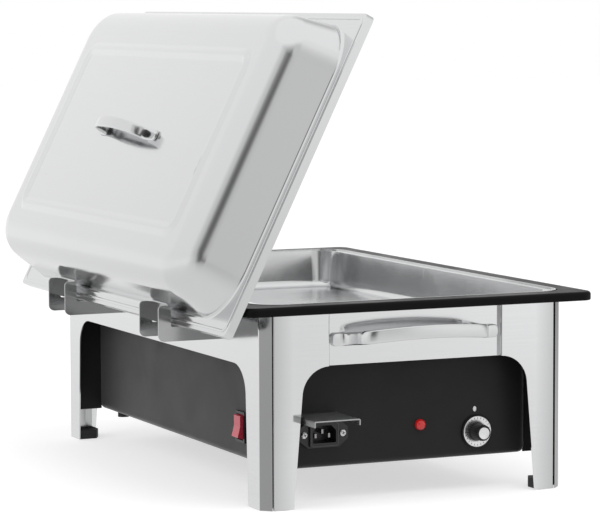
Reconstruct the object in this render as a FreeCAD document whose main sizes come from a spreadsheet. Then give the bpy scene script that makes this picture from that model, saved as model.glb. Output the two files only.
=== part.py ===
import FreeCAD, Part
import math
import os

import Sketcher
from FreeCAD import Placement, Rotation, Vector

# Electric food warmer: a polished sheet frame on four legs, a black housing hung inside it, a water
# well and a food pan dropped in from the top under a black rim, and a lift-off lid that leans in two
# holders on the long side. Millimetres. X runs right along the short control face, Y runs from that
# face to the back, Z runs up from the floor. The origin is the middle of the footprint on the floor.

SIZES = [
    ("frame_width", 318, "outside of the frame across its side sheets"),
    ("frame_length", 530, "outside of the frame over its end legs"),
    ("frame_top", 184, "top edge of the frame sheets above the floor"),
    ("sheet", 1.2, "thickness of the frame sheets"),
    ("floor_gap", 0.4, "frame sheets stand this far off the floor"),
    ("bevel", 9.3, "reach of the bevelled corner band along each face"),
    ("bend", 1.6, "outer radius of the sharp sheet bends"),
    ("seam", 1.2, "gap between the bevel band and the end leg"),
    ("leg_return", 5, "inward fold on the outer edge of an end leg"),
    ("leg_width", 58, "width of an end leg above its arch"),
    ("panel_recess", 5, "depth of the end panel behind the legs"),
    ("panel_tuck", 12, "how far the end panel runs behind each leg"),
    ("end_leg_foot", 30.5, "end arch in from the frame's side at the floor"),
    ("end_leg_head", 42.5, "end arch in from the frame's side at its top"),
    ("end_apron", 51, "top of the end arch below the frame top"),
    ("side_leg_foot", 35, "side arch in from the frame's end at the floor"),
    ("side_leg_head", 41.3, "side arch in from the frame's end at its top"),
    ("side_apron", 51.5, "top of the side arch below the frame top"),
    ("arch_round", 28, "corner radius of the arches"),
    ("post_cut", 17.8, "where the slanted face of a corner post starts"),
    ("post_side_arm", 13, "corner post arm along the side sheet"),
    ("post_end_arm", 8, "corner post arm along the end leg"),
    ("foot_height", 9, "height of the foot pads"),
    ("foot_inset", 9, "depth of a foot pad inside the slanted face"),
    ("rim_side_reach", 25, "rim beyond the frame's long sides"),
    ("rim_end_reach", 19, "rim beyond the frame's ends"),
    ("rim_height", 8.6, "thickness of the rim"),
    ("rim_round", 14, "corner radius of the rim"),
    ("rim_edge", 3.2, "radius of the rim's outer top edge"),
    ("rim_bead", 1.2, "radius of the rim's small edges"),
    ("ledge_drop", 1.8, "pan ledge below the top of the rim"),
    ("well_side_gap", 4, "water well in from the frame's long sides"),
    ("well_end_gap", 9, "water well in from the frame's ends"),
    ("well_depth", 45, "depth of the water well below the frame top"),
    ("well_sheet", 0.9, "thickness of the well and of its flange"),
    ("well_round", 26, "corner radius of the well"),
    ("well_base_round", 10, "radius between the well's walls and floor"),
    ("well_flange", 15, "width of the well's flange"),
    ("pan_side_reach", 3.5, "food pan's flange beyond the frame's long sides"),
    ("pan_flange", 10, "width of the food pan's flange"),
    ("pan_depth", 40, "depth of the food pan"),
    ("pan_sheet", 0.9, "thickness of the food pan"),
    ("pan_round", 24, "corner radius of the food pan's body"),
    ("pan_base_round", 9, "radius between the pan's walls and base"),
    ("pan_draft", 6, "slope of the food pan's walls in degrees"),
    ("pan_hem", 1.5, "width of the raised hem round the pan's flange"),
    ("pan_hem_rise", 1.3, "height of that hem above the flange"),
    ("pan_play", 0.8, "play between the pan's flange and its recess"),
    ("housing_side_gap", 26, "black housing in from the frame's long sides"),
    ("housing_end_gap", 27, "black housing in from the frame's ends"),
    ("wing_inset", 6, "housing's side wings in from its ends"),
    ("housing_floor", 33, "underside of the housing above the floor"),
    ("housing_wall", 1.2, "wall of the housing"),
    ("housing_round", 8, "radius of the housing's upright corners"),
    ("housing_base_round", 6, "radius of the housing's lower edge"),
    ("grip_reach", 37, "how far a carry handle stands off its panel"),
    ("grip_bow", 4, "extra reach at the middle of a carry handle"),
    ("grip_border", 3.5, "carry handle's tabs in from the edge of their panel"),
    ("grip_tab", 14, "length of a carry handle's tab"),
    ("grip_splay", 12, "how far a carry handle's arm leans inward"),
    ("grip_tilt", 10.5, "upward slope of a carry handle in degrees"),
    ("grip_height", 12.6, "height of a carry handle's strap"),
    ("grip_drop", 26.7, "middle of a carry handle's tabs below the frame top"),
    ("grip_strap", 4.6, "thickness of the strap"),
    ("grip_foot_round", 11, "bend radius of the strap at its tabs"),
    ("grip_round", 16, "bend radius of the strap at its grip"),
    ("grip_sweep", 420, "radius of the bowed grip"),
    ("lid_side_play", 1, "lid's flange beyond the food pan's long sides"),
    ("lid_end_play", 17, "lid's flange beyond the food pan's ends"),
    ("lid_lean", 63.54, "slope of the parked lid's flange in degrees"),
    ("lid_back_gap", 1.6, "gap between the parked lid's lower edge and a holder's web"),
    ("lid_sheet", 1, "thickness of the lid"),
    ("lid_skirt", 8, "depth of the skirt round the lid's flange"),
    ("lid_corner", 6, "corner radius of the lid's flange"),
    ("lid_strip", 13, "flat strip between the lid's edge and its dome"),
    ("dome_round", 50, "corner radius of the dome in plan"),
    ("dome_draft", 12, "slope of the dome's wall in degrees"),
    ("dome_height", 62, "height of the dome above the flange"),
    ("dome_edge", 30, "radius round the top of the dome"),
    ("bead_inset_u", 56.5, "raised bead in from the dome's long sides"),
    ("bead_inset_v", 53.5, "raised bead in from the dome's short sides"),
    ("bead_width", 8, "width of the raised bead on the dome"),
    ("bead_rise", 1.2, "height of the raised bead"),
    ("bead_round", 18, "corner radius of the raised bead"),
    ("pull_half", 55, "half distance between the lid handle's screws"),
    ("pull_end", 62, "half length of the lid handle"),
    ("pull_arm", 26, "sloped part of the lid handle along its length"),
    ("pull_rise", 20, "rise of the lid handle above its feet"),
    ("pull_width", 13.5, "width of the lid handle's strap"),
    ("pull_strap", 3, "thickness of the lid handle's strap"),
    ("pull_foot_round", 12, "bend radius of the lid handle at its feet"),
    ("pull_round", 40, "bend radius of the lid handle at its top"),
    ("spacer_radius", 4.2, "radius of the lid handle's spacers"),
    ("spacer_height", 5, "height of the lid handle's spacers"),
    ("holder_middle", 130, "distance of each lid holder from the middle"),
    ("holder_width", 51, "width of a lid holder over its ears"),
    ("holder_plate", 2, "thickness of a lid holder"),
    ("holder_reach", 59.5, "reach of a lid holder out from the side sheet"),
    ("holder_drop", 33.5, "underside of the lid holders below the frame top"),
    ("holder_high", 34.5, "height of the lid holders"),
    ("holder_corner", 4, "corner radius of a lid holder's web and arms"),
    ("holder_toe", 6, "outer lower radius of a lid holder's ear"),
    ("holder_ramp", 8, "sloped run on a lid holder's ear beside its arm"),
    ("holder_arm", 12.5, "width of the upright arm of a holder's ear"),
    ("holder_low", 8.5, "height of a holder's ear at the side sheet"),
    ("holder_seat", 13.6, "height of a holder's ear under the lid"),
    ("holder_web", 16, "how far the outer web starts above the ear's underside"),
    ("holder_screw", 15, "half distance between a holder's screws"),
    ("inlet_x", -85.8, "middle of the mains inlet along X"),
    ("inlet_rise", 32.5, "middle of the mains inlet above the housing's underside"),
    ("inlet_pitch", 40, "distance between the inlet's screws"),
    ("inlet_ear", 5.5, "radius of the inlet's ears"),
    ("inlet_wide", 30, "width of the inlet's shroud"),
    ("inlet_high", 24, "height of the inlet's shroud"),
    ("inlet_out", 4.5, "how far the shroud stands out of the panel"),
    ("inlet_lip", 2.2, "thickness of the inlet's flange"),
    ("socket_wide", 24, "width of the inlet's socket"),
    ("socket_high", 16.6, "height of the inlet's socket"),
    ("socket_deep", 16, "depth of the inlet's socket"),
    ("socket_cut", 5, "bevel on the socket's two upper corners"),
    ("socket_wall", 1.6, "wall of the socket behind the panel"),
    ("inlet_border", 1, "border of the inlet's flange round its shroud"),
    ("inlet_round", 2, "corner radius of the inlet's ears"),
    ("pin_pitch", 7, "outer pins sideways from the middle one"),
    ("pin_stagger", 2, "pins above or below the middle of the socket"),
    ("pin_length", 11, "length of the inlet's pins"),
    ("pin_wide", 2, "width of the inlet's pins"),
    ("pin_high", 4, "height of the inlet's pins"),
    ("hood_left_reach", 31.7, "hood to the left of the inlet's middle"),
    ("hood_right_reach", 15.5, "hood to the right of the inlet's middle"),
    ("hood_rise", 20, "top of the hood above the inlet's middle"),
    ("hood_reach", 51, "reach of the hood out from the panel"),
    ("hood_side", 6, "height of the hood's side folds"),
    ("lamp_x", 16.9, "middle of the pilot lamp along X"),
    ("lamp_level", 34.6, "middle of the pilot lamp above the housing's underside"),
    ("lamp_radius", 5.5, "radius of the pilot lamp's lens"),
    ("lamp_out", 5, "how far the lens stands out"),
    ("lamp_dome", 4.1, "radius round the lens's front edge"),
    ("lamp_bore", 3.8, "radius of the lamp's body behind the panel"),
    ("lamp_deep", 24, "length of the lamp's body"),
    ("dial_x", 77.8, "middle of the thermostat knob along X"),
    ("dial_rise", 24.4, "middle of the thermostat knob above the housing's underside"),
    ("dial_radius", 15.6, "radius of the knob's bright disc"),
    ("skirt_radius", 17.2, "radius of the knob's black skirt"),
    ("skirt_thick", 2, "thickness of the knob's skirt"),
    ("disc_thick", 1, "thickness of the bright disc"),
    ("knob_radius", 8.8, "radius of the knob's body"),
    ("knob_tip", 8.2, "radius of the knob's body at its front"),
    ("knob_reach", 21, "reach of the knob's body from its skirt"),
    ("knob_edge", 1.4, "radius round the front of the knob's body"),
    ("knob_solid", 8, "solid front of the knob ahead of its bore"),
    ("cap_radius", 6.2, "radius of the knob's bright cap"),
    ("cap_thick", 1.2, "thickness of the knob's bright cap"),
    ("panel_play", 0.4, "gap between the knob's skirt and the panel"),
    ("shaft_radius", 3, "radius of the thermostat's shaft"),
    ("shaft_play", 0.05, "running clearance round the shaft"),
    ("shaft_inside", 9, "length of the shaft behind the panel's face"),
    ("bush_radius", 4.8, "radius of the thermostat's bush"),
    ("bush_length", 5.2, "length of the thermostat's bush"),
    ("thermo_half", 18, "half width of the thermostat's body"),
    ("thermo_deep", 22, "depth of the thermostat's body"),
    ("bore_deep", 12, "depth of the bore for the shaft"),
    ("switch_inset", 82.5, "middle of the rocker switch behind the housing's front"),
    ("switch_rise", 31.2, "middle of the rocker switch above the housing's underside"),
    ("bezel_high", 30, "height of the switch's bezel"),
    ("bezel_wide", 22, "width of the switch's bezel"),
    ("bezel_thick", 2.4, "thickness of the switch's bezel"),
    ("rocker_wide", 15, "width of the rocker"),
    ("rocker_radius", 12.2, "radius of the rocker's swing"),
    ("rocker_face", 6.4, "rocker face ahead of its pivot"),
    ("rocker_tilt", 7, "rocker's tilt either side of level in degrees"),
    ("rocker_play", 0.35, "gap round the rocker"),
    ("rocker_well", 9, "depth of the rocker's well behind the wall"),
    ("rocker_edge", 0.8, "radius of the rocker's outer edges"),
    ("pivot_inset", 1, "rocker's pivot behind the outer face of the wall"),
    ("pivot_radius", 1.15, "radius of the rocker's pivot pin"),
    ("switch_deep", 20, "depth of the switch behind the side wall"),
    ("element_radius", 3.4, "radius of the heating tube"),
    ("element_side_gap", 43, "outer runs of the heating tube in from the housing's sides"),
    ("element_turn_gap", 20, "gap between the heating tube's turns and the heat shield's ends"),
    ("terminal_length", 12, "length of the beads and of the blades on the heating tube"),
    ("blade_half", 3, "half width of the blades"),
    ("blade_thick", 0.8, "thickness of the blades"),
    ("strap_half", 6, "half width of the straps"),
    ("strap_sheet", 1, "thickness of the straps"),
    ("cutout_radius", 8.5, "radius of the overheat cut-out"),
    ("cutout_high", 7, "height of the overheat cut-out"),
    ("cutout_ahead", 14, "cut-out ahead of the heat shield"),
    ("shield_border", 26, "heat shield beyond the heating tube's outer runs"),
    ("shield_front_gap", 78, "heat shield behind the housing's front"),
    ("shield_back_gap", 33, "heat shield ahead of the housing's back"),
    ("shield_depth", 13, "depth of the heat shield"),
    ("shield_sheet", 0.8, "thickness of the heat shield"),
    ("shield_round", 6, "corner radius of the heat shield"),
    ("bulb_radius", 3, "radius of the thermostat's bulb"),
    ("bulb_length", 90, "length of the thermostat's bulb"),
    ("bulb_front", 18, "bulb's front end behind the front of the heat shield"),
    ("tube_radius", 1, "radius of the thermostat's thin tube"),
    ("tube_bend", 14, "bend radius of the thin tube"),
    ("tube_above", 6, "thin tube above the thermostat's shaft"),
    ("sensor_x", 60, "line of the bulb and its tube along X"),
    ("screw_radius", 2, "radius of the small screws' shanks"),
    ("head_radius", 3.6, "radius of the small screws' heads"),
    ("head_height", 2, "height of the small screws' heads"),
    ("screw_tail", 3, "length of the inlet's screws behind the panel"),
    ("block_inset", 26, "terminal block behind the front of the housing"),
    ("block_half", 30, "half width of the terminal block"),
    ("block_deep", 20, "depth of the terminal block"),
    ("block_high", 18, "height of the terminal block"),
    ("wire_pitch", 12, "distance between the wire holes in the block"),
    ("wire_hole", 2.6, "radius of the wire holes in the block"),
    ("driver_hole", 2.2, "radius of the screw holes in the block"),
    ("stud_radius", 6, "radius of the stud under the housing"),
    ("stud_high", 6, "height of the stud under the housing"),
    ("stud_back_gap", 38, "stud ahead of the housing's back"),
    ("stud_inset", 14, "stud in from the side of the housing"),
    ("fixing_inset", 75, "housing's screws in from the frame's ends"),
    ("fit_gap", 0.3, "clearance between pieces that lift apart"),
]

HALF_BEND = math.tan(math.radians(22.5))
ROOT_TWO = math.sqrt(2)

doc = FreeCAD.newDocument("food_warmer")
sheet_of_sizes = doc.addObject("Spreadsheet::Sheet", "Sizes")
nodes = []


class Size:
    """A length or an angle that carries its number and the sheet formula it comes from."""

    def __init__(self, number, text):
        self.number = number
        self.text = text

    def __add__(self, other):
        other = as_size(other)
        return Size(self.number + other.number, "(" + self.text + " + " + other.text + ")")

    def __sub__(self, other):
        other = as_size(other)
        return Size(self.number - other.number, "(" + self.text + " - " + other.text + ")")

    def __mul__(self, other):
        other = as_size(other)
        return Size(self.number * other.number, "(" + self.text + " * " + other.text + ")")

    def __truediv__(self, other):
        other = as_size(other)
        return Size(self.number / other.number, "(" + self.text + " / " + other.text + ")")

    def __neg__(self):
        return Size(-self.number, "(0 - " + self.text + ")")

    def __radd__(self, other):
        return as_size(other) + self

    def __rsub__(self, other):
        return as_size(other) - self

    __rmul__ = __mul__


def as_size(value):
    if isinstance(value, Size):
        return value
    return Size(float(value), "(%.9g)" % value)


def cosine(angle):
    return Size(math.cos(math.radians(angle.number)), "cos(" + angle.text + ")")


def sine(angle):
    return Size(math.sin(math.radians(angle.number)), "sin(" + angle.text + ")")


def tangent(angle):
    return Size(math.tan(math.radians(angle.number)), "tan(" + angle.text + ")")


class Sheet:
    """The driving dimensions, read as attributes by their names in the spreadsheet."""


def fill_sheet():
    for row, (name, number, meaning) in enumerate(SIZES, start=1):
        sheet_of_sizes.set("A%d" % row, meaning)
        sheet_of_sizes.set("B%d" % row, str(number))
        sheet_of_sizes.setAlias("B%d" % row, name)
        setattr(Sheet, name, Size(float(number), "Sizes." + name))
    doc.recompute()


def derive_frame_sizes():
    """Sizes of the frame, rim, well, pan and lid that follow from the driving ones."""
    s = Sheet
    half_x = s.frame_width / 2
    half_y = s.frame_length / 2
    s.panel_half = half_x - s.bevel - s.seam - s.leg_width
    s.end_arch_foot = half_x - s.end_leg_foot
    s.end_arch_head = half_x - s.end_leg_head
    s.end_arch_top = s.frame_top - s.end_apron
    s.side_arch_foot = half_y - s.side_leg_foot
    s.side_arch_head = half_y - s.side_leg_head
    s.side_arch_top = s.frame_top - s.side_apron
    s.rim_width = s.frame_width + s.rim_side_reach * 2
    s.rim_length = s.frame_length + s.rim_end_reach * 2
    s.rim_top = s.frame_top + s.rim_height
    s.well_width = s.frame_width - s.well_side_gap * 2
    s.well_length = s.frame_length - s.well_end_gap * 2
    s.pan_width = s.frame_width + s.pan_side_reach * 2
    s.pan_length = s.frame_length
    s.lid_width = s.pan_width + s.lid_side_play * 2
    s.lid_length = s.pan_length + s.lid_end_play * 2
    s.holder_bottom = s.frame_top - s.holder_drop
    s.holder_top = s.holder_bottom + s.holder_high
    s.grip_end = s.panel_half - s.grip_border
    s.grip_foot = s.grip_end - s.grip_tab
    s.grip_half = s.grip_foot - s.grip_splay
    s.grip_level = s.frame_top - s.grip_drop
    s.fixing_y = half_y - s.fixing_inset


def derive_housing_sizes():
    """Sizes of the housing and what it holds that follow from the driving ones."""
    s = Sheet
    s.housing_width = s.frame_width - s.housing_side_gap * 2
    s.housing_length = s.frame_length - s.housing_end_gap * 2
    half_x = s.housing_width / 2
    half_y = s.housing_length / 2
    s.inlet_z = s.housing_floor + s.inlet_rise
    s.hood_left = s.inlet_x - s.hood_left_reach
    s.hood_right = s.inlet_x + s.hood_right_reach
    s.hood_top = s.inlet_z + s.hood_rise
    s.lamp_z = s.housing_floor + s.lamp_level
    s.dial_z = s.housing_floor + s.dial_rise
    s.switch_y = s.switch_inset - half_y
    s.switch_z = s.housing_floor + s.switch_rise
    s.element_run = (half_x - s.element_side_gap) / 3
    s.shield_half = s.element_run * 3 + s.shield_border
    s.shield_front = s.shield_front_gap - half_y
    s.shield_back = half_y - s.shield_back_gap
    s.element_front = s.shield_front + s.element_turn_gap + s.element_run
    s.element_back = s.shield_back - s.element_turn_gap - s.element_run
    s.element_end = s.shield_front - s.terminal_length
    s.stud_y = half_y - s.stud_back_gap


def bind(item, prop, value):
    item.setExpression(prop, as_size(value).text)


def keep(item, name):
    """Make an object one of the part's nodes."""
    item.Label = name
    nodes.append(item)
    return item


def plain_body(name):
    """A body that only serves as one stage of a node."""
    body = doc.addObject("PartDesign::Body", name + "_body")
    body.Label = name
    return body


def new_body(name):
    return keep(plain_body(name), name)


# Sketches

def new_sketch(body, plane, offset=0):
    sketch = body.newObject("Sketcher::SketchObject", body.Label + "_sketch")
    support = [item for item in body.Origin.OriginFeatures if item.Role == plane + "_Plane"][0]
    sketch.AttachmentSupport = [(support, "")]
    sketch.MapMode = "FlatFace"
    bind(sketch, "AttachmentOffset.Base.z", offset)
    return sketch


def pin_point(sketch, geometry, position, x, y):
    """Tie a point of the sketch to the origin by two sizes."""
    for kind, value in (("DistanceX", x), ("DistanceY", y)):
        value = as_size(value)
        index = sketch.addConstraint(Sketcher.Constraint(kind, -1, 1, geometry, position, value.number))
        bind(sketch, "Constraints[%d]" % index, value)


def path_points(points, closed):
    """Give each corner as numbers: where it is, its radius and how far the arc reaches each way."""
    corners = []
    count = len(points)
    for index, point in enumerate(points):
        here = Vector(as_size(point[0]).number, as_size(point[1]).number, 0)
        radius = as_size(point[2]).number if len(point) > 2 else 0
        reach = 0
        if radius > 0 and (closed or 0 < index < count - 1):
            before, after = points[index - 1], points[(index + 1) % count]
            back = Vector(as_size(before[0]).number, as_size(before[1]).number, 0) - here
            ahead = Vector(as_size(after[0]).number, as_size(after[1]).number, 0) - here
            reach = radius / math.tan(back.getAngle(ahead) / 2)
        corners.append((here, radius, reach))
    return corners


def draw(sketch, points, closed=True):
    """Draw lines through points (x, y) or (x, y, radius), each tied to the sheet."""
    corners = path_points(points, closed)
    count = len(corners)
    lines = []
    for index in range(count if closed else count - 1):
        here, _, reach_here = corners[index]
        there, _, reach_there = corners[(index + 1) % count]
        along = (there - here).normalize()
        segment = Part.LineSegment(here + along * reach_here, there - along * reach_there)
        lines.append(sketch.addGeometry(segment, False))
    for index, point in enumerate(points):
        here, radius, reach = corners[index]
        if not closed and index == 0:
            pin_point(sketch, lines[0], 1, point[0], point[1])
        elif not closed and index == count - 1:
            pin_point(sketch, lines[-1], 2, point[0], point[1])
        elif reach == 0:
            line_in, line_out = lines[index - 1], lines[index]
            sketch.addConstraint(Sketcher.Constraint("Coincident", line_in, 2, line_out, 1))
            pin_point(sketch, line_out, 1, point[0], point[1])
        else:
            round_corner(sketch, lines[index - 1], lines[index], here, radius, point)


def round_corner(sketch, line_in, line_out, here, radius, point):
    """Join two lines by an arc tangent to both, and tie the corner it replaces to the sheet."""
    start = sketch.Geometry[line_in].EndPoint
    end = sketch.Geometry[line_out].StartPoint
    inward = ((start + end) * 0.5 - here).normalize()
    half = (start - here).getAngle(inward)
    centre = here + inward * (radius / math.sin(half))
    from_angle = math.atan2(start.y - centre.y, start.x - centre.x)
    to_angle = math.atan2(end.y - centre.y, end.x - centre.x)
    forward = (to_angle - from_angle) % (2 * math.pi) < math.pi
    first, last = (1, 2) if forward else (2, 1)
    limits = (from_angle, to_angle) if forward else (to_angle, from_angle)
    circle = Part.Circle(centre, Vector(0, 0, 1), radius)
    arc = sketch.addGeometry(Part.ArcOfCircle(circle, limits[0], limits[1]), False)
    sketch.addConstraint(Sketcher.Constraint("Tangent", line_in, 2, arc, first))
    sketch.addConstraint(Sketcher.Constraint("Tangent", line_out, 1, arc, last))
    index = sketch.addConstraint(Sketcher.Constraint("Radius", arc, radius))
    bind(sketch, "Constraints[%d]" % index, point[2])
    corner = sketch.addGeometry(Part.Point(here), True)
    sketch.addConstraint(Sketcher.Constraint("PointOnObject", corner, 1, line_in))
    sketch.addConstraint(Sketcher.Constraint("PointOnObject", corner, 1, line_out))
    pin_point(sketch, corner, 1, point[0], point[1])


def draw_circle(sketch, x, y, radius):
    x, y, radius = as_size(x), as_size(y), as_size(radius)
    circle = Part.Circle(Vector(x.number, y.number, 0), Vector(0, 0, 1), radius.number)
    geometry = sketch.addGeometry(circle, False)
    pin_point(sketch, geometry, 3, x, y)
    index = sketch.addConstraint(Sketcher.Constraint("Radius", geometry, radius.number))
    bind(sketch, "Constraints[%d]" % index, radius)


def rectangle(half_x, half_y, radius=0, middle_x=0, middle_y=0):
    return [
        (middle_x - half_x, middle_y - half_y, radius),
        (middle_x + half_x, middle_y - half_y, radius),
        (middle_x + half_x, middle_y + half_y, radius),
        (middle_x - half_x, middle_y + half_y, radius),
    ]


# Features

def pad(body, sketch, length, reverse=False, middle=False, draft=None):
    feature = body.newObject("PartDesign::Pad", body.Label + "_pad")
    feature.Profile = sketch
    bind(feature, "Length", length)
    feature.Reversed = reverse
    feature.SideType = "Symmetric" if middle else "One side"
    if draft is not None:
        bind(feature, "TaperAngle", draft)
    return feature


def pocket(body, sketch, depth=None, reverse=False, middle=False):
    feature = body.newObject("PartDesign::Pocket", body.Label + "_pocket")
    feature.Profile = sketch
    feature.Reversed = reverse
    feature.SideType = "Symmetric" if middle else "One side"
    if depth is None:
        feature.Type = "ThroughAll"
    else:
        bind(feature, "Length", depth)
    return feature


def pipe(body, profile, path):
    feature = body.newObject("PartDesign::AdditivePipe", body.Label + "_sweep")
    feature.Profile = profile
    feature.Spine = (path, ["Edge%d" % (index + 1) for index in range(len(path.Shape.Edges))])
    return feature


def loft(body, first, last):
    feature = body.newObject("PartDesign::AdditiveLoft", body.Label + "_loft")
    feature.Profile = first
    feature.Sections = [last]
    feature.Ruled = True
    return feature


def revolve(body, profile, level, axis_points):
    """Turn a profile drawn in the XY plane at a level about a line in that plane."""
    axis = new_sketch(body, "XY", level)
    draw(axis, axis_points, closed=False)
    doc.recompute()
    feature = body.newObject("PartDesign::Revolution", body.Label + "_turn")
    feature.Profile = profile
    feature.ReferenceAxis = (axis, ["Edge1"])
    feature.Angle = 360
    return feature


def edges_where(shape, test):
    return ["Edge%d" % (index + 1) for index, edge in enumerate(shape.Edges) if test(edge)]


def faces_where(shape, test):
    return ["Face%d" % (index + 1) for index, face in enumerate(shape.Faces) if test(face)]


def fillet(body, radius, test):
    """Round the edges of the body's tip that pass a test."""
    doc.recompute()
    tip = body.Tip
    feature = body.newObject("PartDesign::Fillet", body.Label + "_fillet")
    feature.Base = (tip, edges_where(tip.Shape, test))
    bind(feature, "Radius", radius)
    return feature


def shell(body, wall, test):
    """Hollow the body inward, open at the faces that pass a test."""
    doc.recompute()
    tip = body.Tip
    feature = body.newObject("PartDesign::Thickness", body.Label + "_shell")
    feature.Base = (tip, faces_where(tip.Shape, test))
    bind(feature, "Value", wall)
    feature.Mode = "Skin"
    feature.Join = "Intersection"
    feature.Reversed = True
    return feature


def at_height(level):
    """Test for an edge or face that lies flat at one height."""
    number = as_size(level).number
    return lambda item: abs(item.BoundBox.ZMin - number) < 1e-3 and abs(item.BoundBox.ZMax - number) < 1e-3


def box(name, low, high):
    """A block between two corners, each an (x, y, z) of sizes."""
    block = doc.addObject("Part::Box", name)
    for prop, axis, start, end in zip(("Length", "Width", "Height"), "xyz", low, high):
        bind(block, prop, as_size(end) - start)
        bind(block, "Placement.Base." + axis, start)
    return block


TURNS = {"z": Rotation(), "x": Rotation(Vector(0, 1, 0), 90), "y": Rotation(Vector(1, 0, 0), -90)}


def rod(name, axis, start, radius, length):
    """A round bar from a point along an axis."""
    bar = doc.addObject("Part::Cylinder", name)
    bar.Placement = Placement(Vector(), TURNS[axis])
    bind(bar, "Radius", radius)
    bind(bar, "Height", length)
    for direction, value in zip("xyz", start):
        bind(bar, "Placement.Base." + direction, value)
    return bar


def cut(name, base, tool):
    result = doc.addObject("Part::Cut", name)
    result.Base = base
    result.Tool = tool
    return result


def join(name, pieces):
    result = doc.addObject("Part::MultiFuse", name)
    result.Shapes = pieces
    return result


def group(name, pieces):
    """Like pieces kept as separate solids in one node."""
    result = doc.addObject("Part::Compound", name + "_group")
    result.Links = pieces
    return keep(result, name)


def screw(name, axis, seat, way, shank):
    """A pan-head screw: its head stands on the seat, its shank runs the other way."""
    s = Sheet
    index = "xyz".index(axis)
    head_start = list(seat)
    shank_start = list(seat)
    if way < 0:
        head_start[index] = seat[index] - s.head_height
    else:
        shank_start[index] = seat[index] - shank
    head = rod(name + "_head", axis, head_start, s.head_radius, s.head_height)
    body = rod(name + "_shank", axis, shank_start, s.screw_radius, shank)
    return join(name, [head, body])


# Frame

def end_leg(name, side, end):
    """A leg sheet on an end face: its arch corner is cut out, its two upright edges fold inward."""
    s = Sheet
    edge = s.frame_width / 2 - s.bevel - s.seam
    face = s.frame_length / 2
    outline = [
        (side * (edge - s.sheet), end * (face - s.leg_return)),
        (side * edge, end * (face - s.leg_return)),
        (side * edge, end * face, s.bend),
        (side * s.panel_half, end * face, s.bend),
        (side * s.panel_half, end * (face - s.panel_recess)),
        (side * (s.panel_half + s.sheet), end * (face - s.panel_recess)),
        (side * (s.panel_half + s.sheet), end * (face - s.sheet)),
        (side * (edge - s.sheet), end * (face - s.sheet)),
    ]
    body = new_body(name)
    profile = new_sketch(body, "XY", s.floor_gap)
    draw(profile, outline)
    pad(body, profile, s.frame_top - s.floor_gap)
    cut_end_arch(body)
    return body


def cut_end_arch(body):
    s = Sheet
    arch = new_sketch(body, "XZ")
    below = -s.foot_height
    draw(arch, [
        (-s.end_arch_foot, below),
        (-s.end_arch_head, s.end_arch_top, s.arch_round),
        (s.end_arch_head, s.end_arch_top, s.arch_round),
        (s.end_arch_foot, below),
    ])
    pocket(body, arch, middle=True)


def end_panel(name, end):
    """The panel between two end legs, set back behind them, that carries the handle."""
    s = Sheet
    back = s.frame_length / 2 - s.panel_recess
    body = new_body(name)
    profile = new_sketch(body, "XY", s.floor_gap)
    draw(profile, rectangle(s.panel_half + s.panel_tuck, s.sheet / 2, 0, 0, end * (back - s.sheet / 2)))
    pad(body, profile, s.frame_top - s.floor_gap)
    cut_end_arch(body)
    return body


def side_frame(name, side):
    """A long side sheet whose ends bend round into the bevelled corner bands."""
    s = Sheet
    face = s.frame_width / 2
    half = s.frame_length / 2
    flat = half - s.bevel
    outer_bend = s.bend + s.sheet
    inner = flat - s.sheet * HALF_BEND
    body = new_body(name)
    profile = new_sketch(body, "XY", s.floor_gap)
    draw(profile, [
        (side * (face - s.bevel), -half),
        (side * face, -flat, outer_bend),
        (side * face, flat, outer_bend),
        (side * (face - s.bevel), half),
        (side * (face - s.bevel), half - s.sheet * ROOT_TWO),
        (side * (face - s.sheet), inner, s.bend),
        (side * (face - s.sheet), -inner, s.bend),
        (side * (face - s.bevel), s.sheet * ROOT_TWO - half),
    ])
    pad(body, profile, s.frame_top - s.floor_gap)
    arch = new_sketch(body, "YZ")
    below = -s.foot_height
    draw(arch, [
        (-s.side_arch_foot, below),
        (-s.side_arch_head, s.side_arch_top, s.arch_round),
        (s.side_arch_head, s.side_arch_top, s.arch_round),
        (s.side_arch_foot, below),
    ])
    pocket(body, arch, middle=True)
    return body


def corner_post(name, side, end):
    """A bent strip behind the seam that ties a side sheet to an end leg."""
    s = Sheet
    wall_x = s.frame_width / 2 - s.sheet
    wall_y = s.frame_length / 2 - s.sheet
    slant_x = wall_x - s.post_cut
    slant_y = wall_y - s.post_cut
    shift = s.sheet * HALF_BEND
    body = new_body(name)
    profile = new_sketch(body, "XY", s.foot_height)
    draw(profile, [
        (side * wall_x, end * (slant_y - s.post_side_arm)),
        (side * wall_x, end * slant_y),
        (side * slant_x, end * wall_y),
        (side * (slant_x - s.post_end_arm), end * wall_y),
        (side * (slant_x - s.post_end_arm), end * (wall_y - s.sheet)),
        (side * (slant_x - shift), end * (wall_y - s.sheet)),
        (side * (wall_x - s.sheet), end * (slant_y - shift)),
        (side * (wall_x - s.sheet), end * (slant_y - s.post_side_arm)),
    ])
    pad(body, profile, s.frame_top - s.sheet - s.foot_height)
    return body


def foot_pad(name, side, end):
    """A rubber pad that fills the bottom of a corner and stands on the floor."""
    s = Sheet
    wall_x = s.frame_width / 2 - s.sheet
    wall_y = s.frame_length / 2 - s.sheet
    slant_x = wall_x - s.post_cut
    slant_y = wall_y - s.post_cut
    start_y = slant_y - s.post_side_arm
    start_x = slant_x - s.post_end_arm
    body = new_body(name)
    profile = new_sketch(body, "XY")
    draw(profile, [
        (side * wall_x, end * start_y),
        (side * wall_x, end * slant_y),
        (side * slant_x, end * wall_y),
        (side * start_x, end * wall_y),
        (side * start_x, end * (slant_y - s.foot_inset / 4)),
        (side * (slant_x - s.foot_inset / 4), end * start_y),
    ])
    pad(body, profile, s.foot_height)
    return body


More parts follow.
